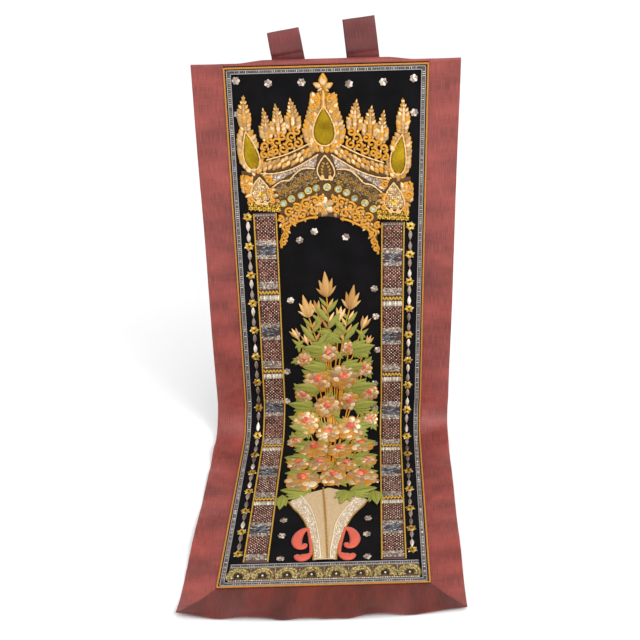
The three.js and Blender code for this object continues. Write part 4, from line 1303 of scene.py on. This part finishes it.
# %% Pads
def pad(node, line):
    """A cushion that swells inside an outline."""
    heart = np.array([np.mean(line[:, 0]), np.mean(line[:, 1]) + 4])
    edge = np.concatenate([line, line[:1]]) - heart

    def at(across, down):
        place = across * len(line)
        share = np.sin(down * np.pi / 2)
        u, v = (heart[i] + share * np.interp(place, np.arange(len(edge)), edge[:, i]) for i in (0, 1))
        return u, v, 0.9 + 5.6 * np.cos(down * np.pi / 2) ** 0.8

    bm = cloth(len(line), 8, at)
    bmesh.ops.remove_doubles(bm, verts=bm.verts, dist=0.01)
    bmesh.ops.holes_fill(bm, edges=[e for e in bm.edges if e.is_boundary], sides=0)
    return lay(node + "_pad", bm, velvet_olive, [node])


pads = [
    pad(node, teardrop_line(u, p + 4, b - 2, h * 0.98, lean, 40))
    for (u, p, b, h, lean), node in zip(PADS, ("teardrop_left", "teardrop_right", "teardrop_middle"))
]
print("pads:", [p.name for p in pads])

# %% [markdown]
# ## The vase
#
# The vase is padded cream satin, couched with white and gold cords. It is a grid again: each row is as
# wide as the vase at that height, and the height of the cloth swells towards the middle and dips between
# the ribs.

# %% The padded satin of the vase
VASE_TOP, VASE_FOOT = 947.5, 1152
# Rows of distance down and half width
VASE = [
    (VASE_FOOT, 20), (1130, 21.5), (1107, 25), (1080, 31.5), (1052, 39), (1027, 50), (1003, 66), (986, 75),
    (963, 52), (VASE_TOP, 3)
]
VASE_RIBS = {
    "white": [
        [(-56, 964), (-34, 1005), (-21, 1050), (-14, 1090), (-10, 1123), (-7, 1149)],
        [(49, 987), (28, 1025), (16, 1059), (13, 1092), (10, 1124), (10, 1150)],
    ],
    "gold": [
        [(-11, 948), (-4, 1023), (1, 1091), (5, 1150)],
        [(h, v) for v, h in VASE[:8]],
        [(-h, v) for v, h in VASE[:8]],
    ],
}


def vase_cloth(across, down):
    tall, wide = np.array(VASE[::-1]).T
    v = VASE_TOP + (VASE_FOOT - VASE_TOP) * down
    half = np.interp(v, tall, wide)
    s = 2 * across - 1
    swell = np.sqrt(np.clip(1 - np.abs(s) ** 4, 0, 1))
    return s * half, v, 0.9 + 2.6 * swell + 0.25 * np.cos(s * 9 * np.pi) * swell


vase = backed(lay("vase_satin", cloth(44, 60, vase_cloth), cream_satin, ["vase"]), 0.8)
print("vase faces:", len(vase.data.polygons))

# %% Beads and ribs of the vase
bead_cream = foil("bead_cream", (0.50, 0.39, 0.27), (0.63, 0.51, 0.37), (0.92, 0.82, 0.67), 0.35, 0.1)
VASE_MARGIN = 2.6
vase_beads = []
for v in np.arange(968, 1149, 2.9):
    edge = np.interp(v, *np.array(VASE[::-1]).T) - VASE_MARGIN
    for side, rib in zip((-1, 1), VASE_RIBS["white"]):
        rib_u = np.interp(v, [p[1] for p in rib], [p[0] for p in rib])
        for u in np.arange(rib_u + side * VASE_MARGIN, side * edge, side * 3.1):
            across, down = (u / (edge + VASE_MARGIN) + 1) / 2, (v - VASE_TOP) / (VASE_FOOT - VASE_TOP)
            vase_beads.append((u, v, vase_cloth(across, down)[2] + 0.1, 0.4 * v, 1.55))
sew("vase_beads", SEQUIN, vase_beads, bead_cream, (), 0.15, seed=41)
white_ribs = [run(line, 2.2) for line in VASE_RIBS["white"]]
couch("vase_white_ribs", white_ribs, 1.3, white_cord, (), 2.9, 4.5)
couch("vase_gold_ribs", [run(VASE_RIBS["gold"][0], 2.2)], 1.9, gold_deep, (), 2.9, 5.5)
vase_edges = [run(line, 2.5) for line in VASE_RIBS["gold"][1:]]
couch("vase_edges", vase_edges, 1.7, gold_deep, (), 0.4, 5.5)
print("vase beads:", len(vase_beads))

# %% Handles
HANDLE_BOW = [(33, 1067), (43, 1073), (50, 1087), (52, 1103), (47, 1116), (39, 1117), (36, 1109)]
HANDLE_FOOT = [(26, 1137), (34, 1144), (44, 1146), (52, 1139)]
HANDLE_STEM = [(33, 1066), (29, 1092), (25.5, 1118), (25, 1138)]
for side, name in ((-1, "left"), (1, "right")):
    curls = [run([(side * u, v) for u, v in line], 2.0) for line in (HANDLE_BOW, HANDLE_FOOT)]
    couch(
        f"handle_{name}_satin", curls, 9.8, coral_satin, [f"handle_{name}"], 0.2,
        taper=lambda t: 0.42 + 0.58 * np.sin(np.pi * t), press=0.24,
    )
handle_stems = [run([(side * u, v) for u, v in HANDLE_STEM], 2.0) for side in (-1, 1)]
couch("handle_stems", handle_stems, 3.2, coral_satin, (), 0.3, press=0.5)
print("handle stems:", len(handle_stems))

# %% [markdown]
# ## The spray
#
# A spray of roses fills the niche. The layout is our own, of ordinary roses, buds and leaves. Leaves are
# sewn in fans of three to seven, stems are couched, and each rose is built up in rings: broad petals
# outside, closer ones inside and a coral heart. Every petal has an orange edge, made like those of the
# crown: a larger orange petal under a smaller pale one.

# %% Leaves and stems
# Roses: out, down and radius
ROSES = [
    (-52, 922, 27), (8, 912, 22), (62, 915, 25), (-20, 868, 19), (32, 874, 17), (-64, 866, 18),
    (74, 860, 15), (-34, 818, 24), (18, 824, 21), (62, 806, 20), (-74, 790, 14), (-8, 768, 20),
    (38, 758, 23), (-54, 742, 22), (78, 738, 13), (-12, 706, 21), (34, 694, 18), (74, 676, 16),
    (-60, 676, 15), (-30, 642, 22), (22, 636, 24), (64, 618, 14), (-56, 594, 13), (-8, 580, 17),
    (34, 570, 12),
]
# Outer leaves: distance down, reach to the left and reach to the right
LEAF_TIPS = [
    (960, 93, 92), (906, 88, 94), (852, 93, 94), (806, 84, 90), (758, 90, 86), (708, 93, 92), (664, 78, 86),
    (618, 62, 70), (574, 58, 86), (540, 30, 34),
]


def leaf_fan(tip_u, tip_v, turn, tall, lobes=3, spread=0.62):
    """A leaf of several lobes that meet at its stalk.

    turn is the way it points, anticlockwise from the right.
    """
    foot_u, foot_v = tip_u - tall * np.cos(turn), tip_v + tall * np.sin(turn)
    made = []
    for k in range(lobes):
        off = (k - (lobes - 1) / 2) * spread
        size = tall / 2 * (1 - 0.22 * abs(k - (lobes - 1) / 2))
        way = turn + off
        made.append(
            (foot_u + size * np.cos(way), foot_v - size * np.sin(way), 0.2 + 0.25 * (k % 2), way, size)
        )
    return made


leaves = []
for v, left, right in LEAF_TIPS:
    leaves += leaf_fan(-left, v - 9, np.pi - 0.2, 52 if left > 50 else 30, 7, 0.36)
    leaves += leaf_fan(right, v - 9, 0.2, 52 if right > 50 else 30, 7, 0.36)
    leaves += leaf_fan(-left + 12, v + 19, np.pi + 0.5, 36, 5, 0.42)
    leaves += leaf_fan(right - 12, v + 19, -0.5, 36, 5, 0.42)
for k, (u, v, r) in enumerate(ROSES):
    for j in range(3):
        turn = 0.9 + 2.4 * k + 2.1 * j
        far = r * 1.2 + 14
        if abs(u + far * np.cos(turn)) < 94:
            leaves += leaf_fan(u + far * np.cos(turn), v - far * np.sin(turn), turn, r * 1.2 + 8, 5, 0.44)
leaves += leaf_fan(-90, 1010, -1.65, 44, 3, 0.3) + leaf_fan(92, 1004, -1.45, 46, 3, 0.4)
sew("spray_leaves", LEAF, leaves, leaf_green, ["foliage"], 0.05, True, 31)
veins = [(u, v, h + 0.19 * s, t, s * 0.86) for u, v, h, t, s in leaves]
sew("leaf_veins", VEIN, veins, leaf_dark, seed=40, shade_smooth=True)
fallen = [(u, v, 3.4, t, s) for u, v, _, t, s in leaf_fan(22, 1000, -1.9, 42, 5, 0.5)]
sew("vase_leaf", LEAF, fallen, leaf_green, (), 0.03, True, 32)
# Lilies and buds: tip out, tip down, height, lean, where the stem turns
LILIES = [(-44, 500, 66, -14, 552), (-8, 456, 72, -4, 520), (36, 484, 70, 12, 534)]
SIDE_BUDS = [
    (-66, 548, 30, -16, 600), (-26, 492, 34, -8, 560), (16, 508, 34, 4, 560), (60, 528, 34, 14, 590),
    (-48, 560, 26, -8, 610), (70, 566, 26, 10, 620)
]
STEM_FOOT = 938
stems = [
    run([(u * 0.12, STEM_FOOT), (u * 0.25, (STEM_FOOT + v) / 2 + 20), (u, v)], 3.0) for u, v, r in ROSES[7:]
]
stems += [
    run([(u * 0.12, 760), (u * 0.3, 640), (u * 0.7, foot), (u, v)], 3.0)
    for u, v, tall, lean, foot in LILIES + SIDE_BUDS
]
couch("stems", stems, 1.4, gold_orange, (), 0.5)
print("leaves:", len(leaves), "stems:", len(stems))

# %% Roses, buds and lilies
outer, coral = [], []
for k, (u, v, r) in enumerate(ROSES):
    big = 7 if r > 18 else 6
    r = 1.1 * r
    rings = flower(u, v + 0.08 * r, big + 3, r * 0.78, r * 0.37, 2.0, 0.7 * k)
    rings += flower(u, v, big + 1, r * 0.52, r * 0.34, 3.2, 0.4 + 0.7 * k)
    rings += flower(u, v - 0.12 * r, big - 2, r * 0.28, r * 0.29, 4.4, 1.1 + 0.7 * k)
    outer += [(x, y, h, t, z * pick.uniform(0.9, 1.1)) for x, y, h, t, z in rings]
    coral += flower(u, v - 0.2 * r, 5, r * 0.16, r * 0.2, 5.0 + 0.13 * r, k)
    coral.append((u, v - 0.2 * r, 6.2 + 0.13 * r, k, r * 0.14))
tips, blades = [], []
for u, v, tall, lean, foot in LILIES:
    for side, reach, bow in (
        (0, 1.0, 0.0), (-1, 0.72, 0.32), (1, 0.76, 0.32), (-1, 0.5, 0.75), (1, 0.54, 0.7)
    ):
        turn = np.pi / 2 - np.arctan2(lean, tall) - side * bow
        half = tall * reach * 0.40
        tips.append((u + half * np.cos(turn), v - half * np.sin(turn), 0.4 + 0.4 * abs(side), turn, half))
    for side, down, reach in ((-1, 22, 26), (1, 34, 34), (-1, 52, 44), (1, 68, 46)):
        base_u, base_v = u * (1 - 0.004 * down), v + down
        turn = np.pi / 2 - side * 0.62
        far = reach * 0.5
        blades.append((base_u + far * np.cos(turn), base_v - far * np.sin(turn), 0.3, turn, reach * 0.55))
        turn = np.pi / 2 + side * 0.45
        tips.append((base_u + 15 * np.cos(turn), base_v + 6 - 15 * np.sin(turn), 0.6, turn, 13))
        if down > 60:
            coral.append((base_u + 26 * np.cos(turn), base_v + 6 - 26 * np.sin(turn), 1.4, turn, 4.2))
for u, v, tall, lean, foot in SIDE_BUDS:
    for side in (-1, 0, 1):
        turn = np.pi / 2 - np.arctan2(lean, tall) - side * 0.3
        far, size = 0.45 * tall, tall * (0.5 - 0.06 * abs(side))
        tips.append((u + far * np.cos(turn), v - far * np.sin(turn), 0.5 + 0.4 * abs(side), turn, size))
        blades.append((u - side * 4 + 7 * side, v + 16 - 6 * abs(side), 0.3, np.pi / 2 - side * 0.8, 15))
ROSE_NODES = [f"rose_{k + 1:02d}" for k in range(len(ROSES))]
below = [(u, v, h, t, s * 1.1) for u, v, h, t, s in outer]
above = [(u, v, h + 0.7, t, s * 0.9) for u, v, h, t, s in outer]
sew("rose_edges", ROUND_PETAL, below, edging_gold, ROSE_NODES, 0.08, True, 33)
sew("rose_petals", ROUND_PETAL, above, petal_peach, ROSE_NODES, 0.12, True, 34)
sew("rose_hearts", ROUND_PETAL, coral, petal_coral, (), 0.15, True, 35)
sew("lily_blades", SLENDER, blades, leaf_green, (), 0.03, True, 39)
sew("lily_petals", SLENDER, tips, bud_gold, ["lily_1", "lily_2", "lily_3"], 0.02, True, 36)
print("rose petals:", len(outer))

# %% [markdown]
# ## Scattered spangles
#
# Tiny silver flowers are scattered over the bare velvet. Their places are measured, their turns are not.

# %% Spangles
# Out and down
SPANGLES = [
    (-160, 25), (-103, 31), (-44, 31), (40, 36), (101, 34), (155, 29), (157, 91), (-160, 86), (-29, 317),
    (-57, 334), (31, 330), (-79, 462), (85, 441), (88, 502), (-69, 539), (92, 578), (-92, 623), (86, 657),
    (-95, 693), (86, 713), (87, 800), (90, 926), (-80, 1039), (-80, 1083), (-78, 1145), (75, 1039),
    (73, 1084), (74, 1145),
]
spangle = [s for k, (u, v) in enumerate(SPANGLES) for s in flower(u, v, 6, 4.2, 3.3, 0.2, 0.5 * k)]
sew("spangles", ROUND_PETAL, spangle, foil_silver, (), 0.2, True, 37)
middles = [(u, v, 1.0, 0, 1.7) for u, v in SPANGLES]
sew("spangle_beads", BEAD, middles, bead_pearl, seed=38, shade_smooth=True)
print("spangles:", len(SPANGLES))
